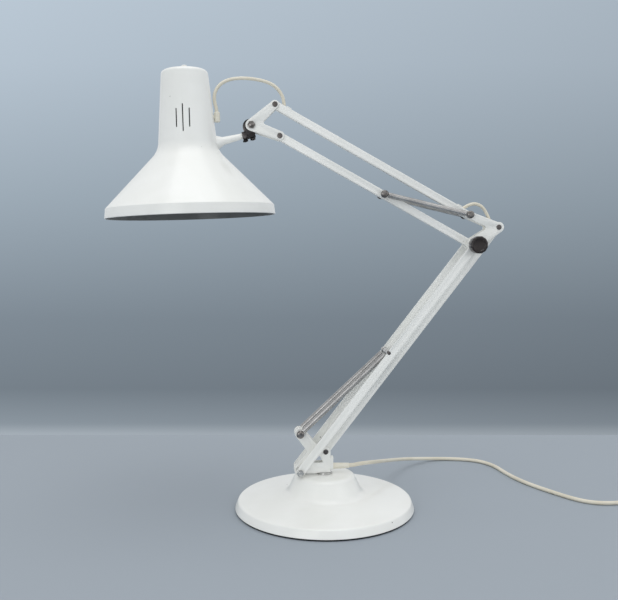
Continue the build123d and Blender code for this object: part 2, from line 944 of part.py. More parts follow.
def elbow_knob():
    near = -(rail_outer + seat_gap + knob_washer_thickness + seat_gap)
    hub = rod(elbow, knob_hub_dia / 2, near - knob_hub_length, near)
    front = near - knob_hub_length - knob_length
    knob = rod(elbow, knob_dia / 2, front, near - knob_hub_length)
    knob = fillet(knob.edges().group_by(Axis.Y)[0], knob_front_round)
    flute_ring = knob_dia / 2 + knob_flute_dia / 2 - knob_flute_depth
    for flute in range(knob_flutes):
        point = place(elbow, flute_ring, 0, 360 / knob_flutes * flute)
        knob -= rod(point, knob_flute_dia / 2, front - overrun, near)
    knob += hub
    return knob - rod(elbow, bolt_dia / 2 + running_gap, near - knob_hub_length - knob_bore_depth, overrun)


# Upper arm

def upper_arm_bar():
    arm = bar(elbow, head_lower, bar_height)
    arm = through(arm, elbow, bolt_dia / 2 + running_gap)
    arm = through(arm, upper_spring_pin, spring_pin_dia / 2 + fit_gap)
    return through(arm, head_lower, rivet_dia / 2 + running_gap)


def upper_spring_crossbar():
    return capped_pin(upper_spring_pin)


def upper_link_bar():
    link = bar(upper_anchor, head_upper, bar_height)
    link = through(link, upper_anchor, spring_pin_dia / 2 + running_gap)
    return through(link, head_upper, rivet_dia / 2 + running_gap)


def lead_clips():
    rise = -(bar_height + clip_wall) / 2
    near_head = upper_arm_length - head_clip_along
    clips = [beam(upper_anchor, upper_arm_angle, along, rise, clip_length, clip_wall, bar_width)
             for along in (elbow_clip_along, near_head)]
    return Compound([solid for clip in clips for solid in clip.solids()])


# Head

def head_plate():
    face = limb(tilt, head_upper, head_tilt_lobe_radius, head_upper_lobe_radius)
    face += limb(tilt, head_lower, head_tilt_lobe_radius, head_lower_lobe_radius)
    face = soften(face, notch_point(tilt, head_upper, head_lower), plate_notch_radius)
    face -= disc(tilt, bolt_dia / 2 + fit_gap)
    face -= disc(head_upper, rivet_dia / 2 + fit_gap)
    face -= disc(head_lower, rivet_dia / 2 + fit_gap)
    return slab(face, -cheek_outer, -cheek_inner)


def head_rivets():
    rivets = [rivet(head_upper, cheek_outer), rivet(head_lower, cheek_outer)]
    return Compound([solid for one in rivets for solid in one.solids()])


def tilt_bolt():
    end = cheek_outer + nut_height
    bolt = rod(tilt, bolt_dia / 2, -end - bolt_end, end + bolt_end)
    nuts = pair(lambda: collar_hex(tilt, bolt_dia / 2, -end, -cheek_outer))
    return Compound([*bolt.solids(), *nuts.solids()])


def stem_plane():
    """Gives the plane whose Z runs down the stem, from under the tilt bolt."""
    heading = radians(stem_heading)
    return Plane((stem_root[0], 0, stem_root[1]), x_dir=(0, 1, 0), z_dir=(cos(heading), 0, sin(heading)))


def tilt_knuckle():
    centre = (tilt[0] - knuckle_eye_shift, tilt[1] - knuckle_eye_shift)
    half = knuckle_width / 2
    eye = rod(centre, knuckle_eye_radius, -half, half)
    middle = socket_end - socket_length / 2
    socket = stem_plane() * Pos(0, 0, middle) * Cylinder(socket_dia / 2, socket_length)
    socket &= slab(disc(stem_root, base_dia), -half, half)
    bore = Cylinder(spigot_dia / 2 + running_gap, socket_bore_depth * 2)
    knuckle = eye + socket - stem_plane() * Pos(0, 0, socket_end) * bore
    knuckle -= rod(tilt, bolt_dia / 2 + running_gap, -overrun, overrun)
    for screw in clamp_places():
        knuckle -= screw * Cylinder(clamp_screw_dia / 2 + fit_gap, clamp_screw_outer * 2)
    return knuckle


def clamp_places():
    """Gives the two clamp screws' places, with Z pointing away below the stem."""
    heading = radians(stem_heading + 90)
    places = []
    for number in range(2):
        along = clamp_screw_first + clamp_screw_spacing * number
        x, z = place(stem_root, along, clamp_nut_drop, stem_heading)
        places.append(Plane((x, 0, z), z_dir=(cos(heading), 0, sin(heading))))
    return places


def clamp_screws():
    solids = []
    middle = (clamp_screw_inner + clamp_screw_outer) / 2 - clamp_nut_drop
    for spot in clamp_places():
        screw = Pos(0, 0, middle) * Cylinder(clamp_screw_dia / 2, clamp_screw_outer - clamp_screw_inner)
        flats = RegularPolygon(clamp_nut_flats / 2, 6, major_radius=False)
        nut = extrude(flats, amount=clamp_nut_height / 2, both=True)
        solids += (spot * (screw + nut)).solids()
    return Compound(solids)


def shade_place():
    return Pos(tilt[0] + shade_shift_x, 0, tilt[1] + shade_shift_z) * Rot(0, -shade_lean, 0)


def shade_line(inset):
    """Gives the shade's profile drawn in by an inset, from the crown down to the rim."""
    drop = inset * inner_corner_share
    return [
        (0, shade_length - inset, 0),
        (neck_top_dia / 2 - inset, shade_length - inset, crown_radius - inset),
        (neck_foot_dia / 2 - inset, neck_foot_height - drop, neck_radius + inset),
        (lip_top_dia / 2 - inset, lip_height - drop, 0),
        (rim_dia / 2 - inset, 0, 0),
    ]


def shade_envelope():
    return revolve(Plane.XZ * outline(shade_line(0) + [(0, 0, 0)]), Axis.Z)


def neck_reach(height):
    """Gives the neck's outer radius at a height above the rim."""
    share = (height - neck_foot_height) / (shade_length - neck_foot_height)
    return (neck_foot_dia + (neck_top_dia - neck_foot_dia) * share) / 2


def slot_cutter(offset, length):
    face = Pos(offset, slot_height) * Rot(0, 0, 90) * SlotOverall(length, slot_width)
    reach = neck_reach(slot_height)
    return slab(face, -reach - overrun, overrun - reach)


def shade():
    shell = revolve(Plane.XZ * outline(shade_line(0) + shade_line(shade_wall)[::-1]), Axis.Z)
    shell -= ring(switch_neck_dia / 2 + fit_gap, 0, 0, shade_length + overrun)
    slots = slot_cutter(0, slot_long) + slot_cutter(-slot_spacing, slot_short)
    slots += slot_cutter(slot_spacing, slot_short)
    for turn in (slot_turn, slot_turn + 180):
        shell -= Rot(0, 0, turn) * slots
    reach = neck_reach(grommet_height)
    shell -= Pos(reach, 0, grommet_height) * Rot(0, 90, 0) * Cylinder(grommet_neck_dia / 2 + fit_gap, overrun)
    shell = shade_place() * shell
    return shell - stem_plane() * Pos(0, 0, stud_nut_start) * Cylinder(stud_dia / 2 + fit_gap, overrun)


def head_stem():
    neck = socket_end + seat_gap
    cup = neck + stem_length
    face = outline([
        (0, neck - socket_bore_depth + seat_gap, 0),
        (spigot_dia / 2, neck - socket_bore_depth + seat_gap, 0),
        (spigot_dia / 2, neck, 0),
        (stem_small_dia / 2, neck, 0),
        (stem_large_dia / 2, cup, 0),
        (cup_dia / 2, cup + cup_length, 0),
        (cup_dia / 2, cup + cup_length + cup_collar, 0),
        (0, cup + cup_length + cup_collar, 0),
    ])
    stem = stem_plane() * revolve(Plane.XZ * face, Axis.Z)
    stem -= shade_place() * shade_envelope()
    stud = Cylinder(stud_dia / 2, stud_length - cup)
    return stem + stem_plane() * Pos(0, 0, (cup + stud_length) / 2) * stud


def stem_nut():
    flats = RegularPolygon(stud_nut_flats / 2, 6, major_radius=False) - Circle(stud_dia / 2 + fit_gap)
    return stem_plane() * Pos(0, 0, stud_nut_start) * extrude(flats, amount=stud_nut_height)


def lead_grommet():
    reach = neck_reach(grommet_height)
    stand = reach + grommet_stand + grommet_dia / 2
    post = Pos(stand, 0, grommet_height) * Cylinder(grommet_dia / 2, grommet_length)
    post = fillet(post.edges(), grommet_round)
    inner = reach - shade_wall - grommet_tail
    neck = Pos((inner + stand) / 2, 0, grommet_height) * Rot(0, 90, 0)
    grommet = post + neck * Cylinder(grommet_neck_dia / 2, stand - inner)
    top = grommet_height + grommet_length / 2
    bore = Pos(stand, 0, top) * Cylinder(lead_dia / 2 + lead_dia * bore_share, grommet_bore_depth * 2)
    return shade_place() * (grommet - bore)


def lampholder():
    holder = ring(holder_dia / 2, 0, holder_foot, holder_top)
    holder = fillet(holder.edges().filter_by(GeomType.CIRCLE), holder_round)
    holder -= ring(bulb_cap_dia / 2 + fit_gap, 0, 0, cap_top)
    return shade_place() * (holder - ring(bulb_tip_dia / 2 + fit_gap, 0, 0, cap_top + bulb_tip_length))


def bulb_cap():
    cap = ring(bulb_cap_dia / 2, 0, cap_foot, cap_top)
    return shade_place() * (cap + ring(bulb_tip_dia / 2, 0, cap_top, cap_top + bulb_tip_length))


def bulb_solid(inset):
    """Makes the bulb's pear-shaped body, drawn in by an inset."""
    neck = bulb_neck_dia / 2 - inset
    face = limb((0, bulb_middle), (0, bulb_neck_foot), bulb_dia / 2 - inset, neck)
    throat = bulb_neck_length - inset
    face += Pos(0, bulb_neck_foot + throat / 2) * Rectangle(neck * 2, throat)
    face &= Pos(bulb_dia / 2, bulb_middle) * Rectangle(bulb_dia, bulb_reach * 2)
    return revolve(Plane.XZ * face, Axis.Z)


def bulb_glass():
    return shade_place() * (bulb_solid(0) - bulb_solid(bulb_wall))


def switch_body():
    crown = shade_length - shade_wall
    top = shade_length + switch_collar_length
    body = ring(switch_dia / 2, 0, holder_top, crown) + ring(switch_neck_dia / 2, 0, crown, top)
    body -= ring(button_dia / 2 + running_gap, 0, shade_length - switch_well_depth, top)
    collar = ring(switch_collar_dia / 2, switch_neck_dia / 2 + fit_gap, shade_length, top)
    return shade_place() * Compound([*body.solids(), *collar.solids()])


def switch_button():
    top = shade_length + switch_collar_length + button_rise
    button = ring(button_dia / 2, 0, shade_length - button_depth, top)
    button = fillet(button.edges().group_by(Axis.Z)[-1], button_round)
    return shade_place() * button


parts = {
    "base_shell": base_shell,
    "base_weight": base_weight,
    "base_felt": base_felt,
    "swivel_bush": swivel_bush,
    "swivel_spindle": swivel_spindle,
    "base_bracket": base_bracket,
    "lead_gland": lead_gland,
    "arm_pivot_bolt": arm_pivot_bolt,
    "arm_spacers": arm_spacers,
    "link_pivot_rivet": link_pivot_rivet,
    "spring_anchor_pin": spring_anchor_pin,
    "lower_spring_near": lower_spring,
    "lower_spring_far": lambda: lower_spring().mirror(Plane.XZ),
    "rail_near": rail,
    "rail_far": lambda: rail().mirror(Plane.XZ),
    "lower_spring_crossbar": lower_spring_crossbar,
    "rail_spacers": rail_spacers,
    "lower_link": lower_link,
    "link_lead": link_lead,
    "elbow_plate_near": elbow_plate,
    "elbow_plate_far": lambda: elbow_plate().mirror(Plane.XZ),
    "elbow_rivet": elbow_rivet,
    "elbow_bolt": elbow_bolt,
    "elbow_spacers": elbow_spacers,
    "upper_anchor_pin": upper_anchor_pin,
    "upper_spring_near": upper_spring,
    "upper_spring_far": lambda: upper_spring().mirror(Plane.XZ),
    "elbow_lead": elbow_lead,
    "elbow_knob": elbow_knob,
    "upper_arm_bar": upper_arm_bar,
    "upper_spring_crossbar": upper_spring_crossbar,
    "upper_link_bar": upper_link_bar,
    "lead_clips": lead_clips,
    "arm_lead": arm_lead,
    "head_lead_rise": head_lead_rise,
    "head_lead_loop": head_lead_loop,
    "head_lead_drop": head_lead_drop,
    "head_plate_near": head_plate,
    "head_plate_far": lambda: head_plate().mirror(Plane.XZ),
    "head_rivets": head_rivets,
    "tilt_bolt": tilt_bolt,
    "tilt_knuckle": tilt_knuckle,
    "clamp_screws": clamp_screws,
    "head_stem": head_stem,
    "stem_nut": stem_nut,
    "shade": shade,
    "lead_grommet": lead_grommet,
    "lampholder": lampholder,
    "bulb_cap": bulb_cap,
    "bulb_glass": bulb_glass,
    "switch_body": switch_body,
    "switch_button": switch_button,
    "mains_lead": mains_lead,
    "mains_coil": mains_coil,
    "plug_body": plug_body,
    "plug_pins": plug_pins,
}

os.makedirs("parts", exist_ok=True)
for node, make in parts.items():
    export_step(make(), f"parts/{node}.step")
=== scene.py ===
import logging
import math
from dataclasses import dataclass
from enum import Enum
from typing import Callable, Iterable, Sequence

import bmesh
import bpy
from bmesh.types import BMEdge, BMesh, BMFace, BMVert
from bpy.types import Material, Mesh, Node, NodeSocket, NodeTree, Object
from mathutils import Matrix, Vector


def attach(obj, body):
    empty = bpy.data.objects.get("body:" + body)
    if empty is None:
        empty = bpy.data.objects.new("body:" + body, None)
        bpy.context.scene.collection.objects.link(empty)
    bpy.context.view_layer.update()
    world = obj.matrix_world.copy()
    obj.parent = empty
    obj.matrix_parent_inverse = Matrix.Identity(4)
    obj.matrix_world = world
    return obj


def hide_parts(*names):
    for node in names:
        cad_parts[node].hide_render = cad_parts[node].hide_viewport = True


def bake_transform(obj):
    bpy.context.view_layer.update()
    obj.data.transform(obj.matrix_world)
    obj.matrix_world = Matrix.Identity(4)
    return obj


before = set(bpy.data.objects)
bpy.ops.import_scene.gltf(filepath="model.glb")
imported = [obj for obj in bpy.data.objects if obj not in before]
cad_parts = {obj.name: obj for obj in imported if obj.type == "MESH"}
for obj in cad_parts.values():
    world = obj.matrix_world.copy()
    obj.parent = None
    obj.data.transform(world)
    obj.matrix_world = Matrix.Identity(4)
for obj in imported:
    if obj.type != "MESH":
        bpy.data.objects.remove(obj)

log = logging.getLogger("desk_lamp")
MM = 0.001
ORIGIN = (0.0, 0.0, 0.0)

Pair = tuple[float, float]
Triple = tuple[float, float, float]


class Body(Enum):
    """The rigid groups of the lamp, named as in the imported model."""

    BASE = "base"
    BRACKET = "bracket"
    LOWER_ARM = "lower_arm"
    LOWER_LINK = "lower_link"
    ELBOW = "elbow"
    ELBOW_KNOB = "elbow_knob"
    UPPER_ARM = "upper_arm"
    UPPER_LINK = "upper_link"
    HEAD_BRACKET = "head_bracket"
    KNUCKLE = "knuckle"
    SHADE = "shade"
    SWITCH_BUTTON = "switch_button"


class Side(Enum):
    """Which side of the arms' plane a mirrored piece stands on."""

    NEAR = -1
    FAR = 1


def point(x: float, y: float, z: float) -> Vector:
    """Gives a place in metres from millimetres."""
    return Vector((x, y, z)) * MM


def srgb(code: str) -> tuple[float, float, float, float]:
    """Turns an sRGB hex colour to linear values.

    Args:
        code: The colour, such as "#F4F3EF".

    Returns:
        Linear red, green and blue, and full opacity.
    """
    parts = [int(code[i : i + 2], 16) / 255 for i in (1, 3, 5)]
    linear = [c / 12.92 if c <= 0.04045 else ((c + 0.055) / 1.055) ** 2.4 for c in parts]
    return (linear[0], linear[1], linear[2], 1.0)


def add_node(
    tree: NodeTree,
    kind: str,
    settings: dict | None = None,
    inputs: dict | None = None,
    links: dict | None = None,
) -> Node:
    """Adds one node with its settings, values and incoming links.

    Args:
        tree: The node tree that takes the node.
        kind: The node's type name, without the ShaderNode before it.
        settings: Attributes of the node itself.
        inputs: Values for its input sockets, by name or number.
        links: Output sockets to join to its input sockets, by name or number.

    Returns:
        The new node.
    """
    node = tree.nodes.new(f"ShaderNode{kind}")
    for key, value in (settings or {}).items():
        setattr(node, key, value)
    for key, value in (inputs or {}).items():
        node.inputs[key].default_value = value
    for key, socket in (links or {}).items():
        tree.links.new(socket, node.inputs[key])
    return node


def add_ramp(
    tree: NodeTree, source: NodeSocket, stops: Sequence[tuple[float, str]]
) -> NodeSocket:
    """Adds a colour ramp with the given stops.

    Args:
        tree: The node tree that takes the ramp.
        source: The socket that drives it.
        stops: Each stop's place and sRGB hex colour.

    Returns:
        The socket that carries its colour.
    """
    ramp = add_node(tree, "ValToRGB", links={"Fac": source})
    while len(ramp.color_ramp.elements) < len(stops):
        ramp.color_ramp.elements.new(0.5)
    for element, (place, code) in zip(ramp.color_ramp.elements, stops):
        element.position = place
        element.color = srgb(code)
    return ramp.outputs["Color"]


def node_material(name: str) -> tuple[Material, NodeTree]:
    """Makes a material that uses nodes, and gives it with its tree."""
    material = bpy.data.materials.new(name)
    material.use_nodes = True
    return material, material.node_tree


@dataclass(frozen=True)
class Surface:
    """A material's nodes while a finish works on them."""

    tree: NodeTree
    shader: Node
    place: Node

    def give(self, values: dict[str, object]) -> None:
        """Sets even values on the shader's own sockets."""
        for key, value in values.items():
            self.shader.inputs[key].default_value = value

    def noise(
        self, size_mm: float, detail: float = 2.0, source: NodeSocket | None = None
    ) -> NodeSocket:
        """Adds a noise whose features have a real size.

        Args:
            size_mm: How large its features are.
            detail: How much finer noise it carries.
            source: Its coordinates, or none for the object's own.

        Returns:
            The socket that carries the noise.
        """
        node = add_node(
            self.tree, "TexNoise",
            inputs={"Scale": 1 / (size_mm * MM), "Detail": detail},
            links={"Vector": self.place.outputs["Object"] if source is None else source},
        )
        return node.outputs["Fac"]

    def relief(self, height: NodeSocket, strength: float, depth_mm: float) -> None:
        """Raises the surface by a pattern.

        Args:
            height: The socket that gives the pattern.
            strength: How much of the relief shows.
            depth_mm: The relief's real depth.
        """
        bump = add_node(
            self.tree, "Bump",
            inputs={"Strength": strength, "Distance": depth_mm * MM},
            links={"Height": height},
        )
        self.tree.links.new(bump.outputs["Normal"], self.shader.inputs["Normal"])


@dataclass(frozen=True)
class Finish:
    """What a surface is made of, before its own pattern is added."""

    name: str
    slot: str
    colour: str
    shade_colour: str
    roughness: float
    patch_mm: float = 40.0

    def make(self) -> Material:
        """Builds the material, its colour clouded slightly as age and handling do.

        Returns:
            The material.
        """
        material, tree = node_material(self.name)
        place = add_node(tree, "TexCoord")
        surface = Surface(tree, tree.nodes["Principled BSDF"], place)
        surface.give({"Roughness": self.roughness})
        stops = [(0.35, self.shade_colour), (0.65, self.colour)]
        cloud = add_ramp(tree, surface.noise(self.patch_mm, 4.0), stops)
        tree.links.new(cloud, surface.shader.inputs["Base Color"])
        self.pattern(surface, cloud)
        return material

    def pattern(self, surface: Surface, cloud: NodeSocket) -> None:
        """Adds what sets the finish apart.

        Args:
            surface: The material so far.
            cloud: The socket that carries its clouded colour.
        """
        raise NotImplementedError


@dataclass(frozen=True)
class StoveEnamel(Finish):
    """Sprayed and baked enamel on sheet steel: glossy, with a faint orange peel and rare chips."""

    peel_mm: float = 4.5
    peel_depth_mm: float = 0.03
    peel_strength: float = 0.08
    chip_mm: float = 7.0
    chip_colour: str = "#6E675C"
    chip_limit: float = 0.765
    chip_edge: float = 0.012

    def pattern(self, surface: Surface, cloud: NodeSocket) -> None:
        """Adds the glossy top, the chips and the orange peel."""
        tree = surface.tree
        surface.give({"Coat Weight": 0.35, "Coat Roughness": 0.12})
        stops = [(self.chip_limit, "#000000"), (self.chip_limit + self.chip_edge, "#FFFFFF")]
        chips = add_ramp(tree, surface.noise(self.chip_mm, 3.0), stops)
        mix = add_node(
            tree, "Mix", {"data_type": "RGBA"}, {7: srgb(self.chip_colour)}, {0: chips, 6: cloud}
        )
        tree.links.new(mix.outputs[2], surface.shader.inputs["Base Color"])
        peel = surface.noise(self.peel_mm, 1.0)
        sunk = add_node(tree, "Math", {"operation": "SUBTRACT"}, links={0: peel, 1: chips})
        surface.relief(sunk.outputs[0], self.peel_strength, self.peel_depth_mm)


@dataclass(frozen=True)
class PlatedSteel(Finish):
    """Plated or bare metal: bright, with dull patches and fine handling scratches."""

    dull_roughness: float = 0.34
    scratch_mm: float = 0.5
    scratch_depth_mm: float = 0.015
    across: Triple = (1.0, 6.0, 1.0)

    def pattern(self, surface: Surface, cloud: NodeSocket) -> None:
        """Adds the dull patches and the scratches."""
        tree = surface.tree
        surface.give({"Metallic": 1.0})
        spread = add_node(
            tree, "MapRange",
            inputs={
                "From Min": 0.35, "From Max": 0.68,
                "To Min": self.roughness, "To Max": self.dull_roughness,
            },
            links={"Value": surface.noise(self.patch_mm / 3, 3.0)},
        )
        tree.links.new(spread.outputs["Result"], surface.shader.inputs["Roughness"])
        stretched = add_node(
            tree, "Mapping",
            inputs={"Scale": self.across},
            links={"Vector": surface.place.outputs["Object"]},
        )
        scratch = surface.noise(self.scratch_mm, 1.0, stretched.outputs["Vector"])
        surface.relief(scratch, 0.12, self.scratch_depth_mm)


@dataclass(frozen=True)
class Moulded(Finish):
    """Moulded plastic or rubber: even colour, a soft sheen and a faint grain from the mould."""

    grain_mm: float = 0.8
    depth_mm: float = 0.04
    coat: float = 0.0

    def pattern(self, surface: Surface, cloud: NodeSocket) -> None:
        """Adds the sheen and the grain."""
        surface.give({"IOR": 1.48, "Coat Weight": self.coat, "Coat Roughness": 0.05})
        surface.relief(surface.noise(self.grain_mm), 0.2, self.depth_mm)


@dataclass(frozen=True)
class RoughCast(Finish):
    """Sand-cast iron or pressed felt: dull, with a coarse grain."""

    grain_mm: float = 1.4
    depth_mm: float = 0.3
    metallic: float = 0.0

    def pattern(self, surface: Surface, cloud: NodeSocket) -> None:
        """Adds the coarse grain."""
        surface.give({"Metallic": self.metallic})
        surface.relief(surface.noise(self.grain_mm, 5.0), 0.7, self.depth_mm)


@dataclass(frozen=True)
class OpalGlass(Finish):
    """Blown glass with a white inner coat: glossy outside, milky underneath."""

    def pattern(self, surface: Surface, cloud: NodeSocket) -> None:
        """Adds the milky depth, the gloss and a faint unevenness."""
        surface.give(
            {
                "IOR": 1.5, "Coat Weight": 0.5, "Coat Roughness": 0.04,
                "Subsurface Weight": 0.25, "Subsurface Radius": (0.004, 0.004, 0.0035),
            }
        )
        surface.relief(surface.noise(6.0, 3.0), 0.04, 0.05)


ENAMEL = StoveEnamel("white_stove_enamel", "ivory_enamel", "#F4F4F0", "#EFEFEA", 0.3, 55.0)
# Painted shade: the reflector's inside is coloured dark grey to stand in for the shade that falls
# inside it.
INNER_PAINTED_SHADE = StoveEnamel(
    "inner_enamel_painted_shade", "ivory_enamel", "#747573", "#686967", 0.45, 30.0
)
BRIGHT = PlatedSteel("bright_nickel_plate", "bright_steel", "#CFCFCE", "#B9B8B5", 0.16, 12.0)
# Painted reflection: this chrome is coloured darker, with dark patches, to stand in for dark
# surroundings mirrored in it.
CHROME_PAINTED_REFLECTION = PlatedSteel("chrome_painted_dark_reflection", "bright_steel", "#96928F", "#54504D", 0.12, 5.0, 0.26)
# Painted reflection: the knuckle's bright steel is coloured near black to stand in for dark
# surroundings mirrored in it.
STEEL_PAINTED_REFLECTION = PlatedSteel("steel_painted_dark_reflection", "bright_steel", "#4A4848", "#2A2828", 0.2, 5.0, 0.34)
DARK = PlatedSteel("browned_rivet_steel", "dark_steel", "#7D7876", "#5B5654", 0.24, 6.0, 0.36)
SPRING = PlatedSteel(
    "drawn_spring_wire", "spring_steel", "#BDBBB9", "#A9A7A5", 0.14, 14.0, 0.2, 0.36, 0.0
)
KNOB = Moulded(
    "dark_phenolic_knob", "dark_steel", "#1C1513", "#241B18", 0.22, 10.0, 2.0, 0.01, 0.15
)
IVORY = Moulded("ivory_moulded_plastic", "ivory_plastic", "#E9E5D8", "#E1DCCC", 0.4, 12.0)
WHITE = Moulded("white_moulded_plastic", "white_plastic", "#F0EFEB", "#E8E7E2", 0.32, 12.0)
LEAD = Moulded("ivory_pvc_sheath", "ivory_lead", "#E6E0CF", "#DBD4C1", 0.42, 30.0, 1.2, 0.05)
BLACK = Moulded("black_phenolic", "lampholder_black", "#1F1D1C", "#2A2826", 0.3, 10.0)
BRASS = PlatedSteel("brass_screw_cap", "bulb_brass", "#C9B47A", "#AF9A60", 0.22, 8.0)
OPAL = OpalGlass("opal_bulb_glass", "bulb_opal", "#F3F1EA", "#EEECE4", 0.12, 20.0)
CAST = RoughCast(
    "cast_iron_weight", "cast_weight", "#3C3B3B", "#2E2D2D", 0.75, 15.0, 1.6, 0.35, 0.4
)
FELT = RoughCast("pressed_felt", "felt", "#121314", "#0C0D0D", 0.95, 10.0, 0.9, 0.5)

_made: dict[str, Material] = {}


def material_of(finish: Finish) -> Material:
    """Gives a finish's material, building it once."""
    if finish.name not in _made:
        _made[finish.name] = finish.make()
    return _made[finish.name]


def linked(name: str, data: bpy.types.ID) -> Object:
    """Makes an object of a mesh, curve, camera or light and puts it in the scene."""
    thing = bpy.data.objects.new(name, data)
    bpy.context.scene.collection.objects.link(thing)
    return thing


def placed(name: str, bm: BMesh) -> Object:
    """Turns a bmesh into an object in the scene, and frees it."""
    mesh = bpy.data.meshes.new(name)
    bm.to_mesh(mesh)
    bm.free()
    return linked(name, mesh)


def only(geom: Iterable, kind: type) -> list:
    """Gives the verts, the edges or the faces among mixed geometry."""
    return [g for g in geom if isinstance(g, kind)]


def turn_about(bm: BMesh, axis: str, degrees: float) -> None:
    """Turns a whole bmesh about an axis through the origin."""
    turn = Matrix.Rotation(math.radians(degrees), 3, axis)
    bmesh.ops.rotate(bm, cent=ORIGIN, matrix=turn, verts=bm.verts)


def spun(
    bm: BMesh,
    geom: Sequence,
    axis: Triple,
    angle: float,
    steps: int,
    rise: float = 0.0,
    centre: Sequence[float] = ORIGIN,
    merge: bool = False,
) -> list:
    """Sweeps geometry round an axis, along it, or both.

    Args:
        bm: The mesh that holds the geometry.
        geom: What is swept.
        axis: The axis's direction.
        angle: The whole turn, in radians.
        steps: The number of steps.
        rise: How far it climbs at each step, in millimetres.
        centre: A point on the axis.
        merge: Whether the last ring joins the first.

    Returns:
        The last ring's geometry.
    """
    made = bmesh.ops.spin(
        bm, geom=geom, cent=centre, axis=axis, dvec=point(0, 0, rise), angle=angle, steps=steps,
        use_merge=merge, use_duplicate=False,
    )
    return made["geom_last"]


def edges_over(bm: BMesh, degrees: float) -> list[BMEdge]:
    """Gives the edges whose two faces meet at more than an angle."""
    limit = math.radians(degrees)
    return [e for e in bm.edges if len(e.link_faces) == 2 and e.calc_face_angle(0) > limit]


def smooth_by_angle(mesh: Mesh, degrees: float) -> None:
    """Shades a mesh smooth and keeps its sharper edges sharp.

    Args:
        mesh: The mesh.
        degrees: The largest angle between faces that stays smooth.
    """
    bm = bmesh.new()
    bm.from_mesh(mesh)
    for face in bm.faces:
        face.smooth = True
    for edge in bm.edges:
        edge.smooth = True
    for edge in edges_over(bm, degrees):
        edge.smooth = False
    bm.to_mesh(mesh)
    bm.free()


def finished(
    name: str,
    bm: BMesh,
    finishes: Sequence[Finish],
    body: Body | None,
    stands_for: Iterable[str] = (),
    degrees: float = 35.0,
) -> Object:
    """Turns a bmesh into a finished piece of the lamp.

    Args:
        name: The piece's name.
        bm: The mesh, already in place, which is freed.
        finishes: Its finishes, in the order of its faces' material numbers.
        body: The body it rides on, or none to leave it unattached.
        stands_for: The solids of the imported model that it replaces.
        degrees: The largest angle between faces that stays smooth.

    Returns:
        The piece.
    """
    piece = placed(name, bm)
    for finish in finishes:
        piece.data.materials.append(material_of(finish))
    smooth_by_angle(piece.data, degrees)
    if body is not None:
        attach(piece, body.value)
    nodes = list(stands_for)
    if nodes:
        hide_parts(*nodes)
    log.info("made %s, %d faces", name, len(piece.data.polygons))
    return piece


def dressed(
    node: str, finish: Finish, body: Body, edge_mm: float = 0.0, degrees: float = 24.0
) -> Object:
    """Makes a finished copy of a machined solid, with its edges broken.

    Args:
        node: The solid's name.
        finish: Its finish.
        body: The body it rides on.
        edge_mm: How far its sharp edges are rounded, or nil to leave them.
        degrees: The angle from which an edge is shaded sharp.

    Returns:
        The piece.
    """
    bm = bmesh.new()
    bm.from_mesh(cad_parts[node].data)
    bmesh.ops.remove_doubles(bm, verts=bm.verts, dist=0.002 * MM)
    bmesh.ops.dissolve_limit(bm, angle_limit=math.radians(0.6), verts=bm.verts, edges=bm.edges)
    if edge_mm:
        bmesh.ops.bevel(
            bm, geom=edges_over(bm, 50.0), offset=edge_mm * MM, offset_type="OFFSET",
            affect="EDGES", segments=2, profile=0.5, material=-1, clamp_overlap=True,
        )
    return finished(f"{node}_dressed", bm, [finish], body, [node], degrees)


def dress(body: Body, *pieces: tuple[str, Finish, float]) -> None:
    """Finishes several machined solids of one body.

    Args:
        body: The body that they ride on.
        pieces: Each one's name, its finish and the rounding of its edges in millimetres.
    """
    for node, finish, edge_mm in pieces:
        dressed(node, finish, body, edge_mm)


def turned(profile: Sequence[Pair], steps: int) -> BMesh:
    """Spins a closed profile round the upright axis.

    Args:
        profile: Radius and height of each point, in millimetres.
        steps: The number of facets round the axis.

    Returns:
        The spun mesh, with outward faces.
    """
    bm = bmesh.new()
    verts = [bm.verts.new(point(r, 0, z)) for r, z in profile]
    pairs = zip(verts, [*verts[1:], verts[0]])
    edges = [bm.edges.new(pair) for pair in pairs if pair[0].co.x + pair[1].co.x > 0]
    spun(bm, verts + edges, (0, 0, 1), math.tau, steps, merge=True)
    bmesh.ops.remove_doubles(bm, verts=bm.verts, dist=0.001 * MM)
    bmesh.ops.recalc_face_normals(bm, faces=bm.faces)
    return bm


def rounded(points: Sequence[Triple], facets: int = 8) -> list[Pair]:
    """Rounds the corners of a profile.

    Args:
        points: Radius, height and rounding radius of each corner.
        facets: The number of facets at each rounded corner.

    Returns:
        The profile's points.
    """
    made: list[Pair] = []
    for index, (r, z, radius) in enumerate(points):
        if not radius or index in (0, len(points) - 1):
            made.append((r, z))
            continue
        here = Vector((r, z))
        before = (Vector(points[index - 1][:2]) - here).normalized()
        after = (Vector(points[index + 1][:2]) - here).normalized()
        half = before.angle(after) / 2
        reach = radius / math.tan(half)
        centre = here + (before + after).normalized() * (radius / math.sin(half))
        start = here + before * reach - centre
        turn = start.angle_signed(here + after * reach - centre)
        for facet in range(facets + 1):
            spoke = start.copy()
            spoke.rotate(Matrix.Rotation(-turn * facet / facets, 2))
            made.append((centre.x + spoke.x, centre.y + spoke.y))
    return made


def route_curve(name: str, points: Sequence[Vector]) -> Object:
    """Lays a smooth curve along a route.

    Args:
        name: The curve's name.
        points: The route's points, in metres.

    Returns:
        The curve, with no thickness yet.
    """
    data = bpy.data.curves.new(name, "CURVE")
    data.dimensions = "3D"
    data.resolution_u = 8
    spline = data.splines.new("NURBS")
    spline.points.add(len(points) - 1)
    for control, place in zip(spline.points, points):
        control.co = (*place, 1.0)
    spline.order_u = 3
    spline.use_endpoint_u = True
    return linked(name, data)


def read_mesh(source: Object) -> Mesh:
    """Gives the mesh that an object comes out as."""
    bpy.context.view_layer.update()
    graph = bpy.context.evaluated_depsgraph_get()
    return bpy.data.meshes.new_from_object(source.evaluated_get(graph), depsgraph=graph)


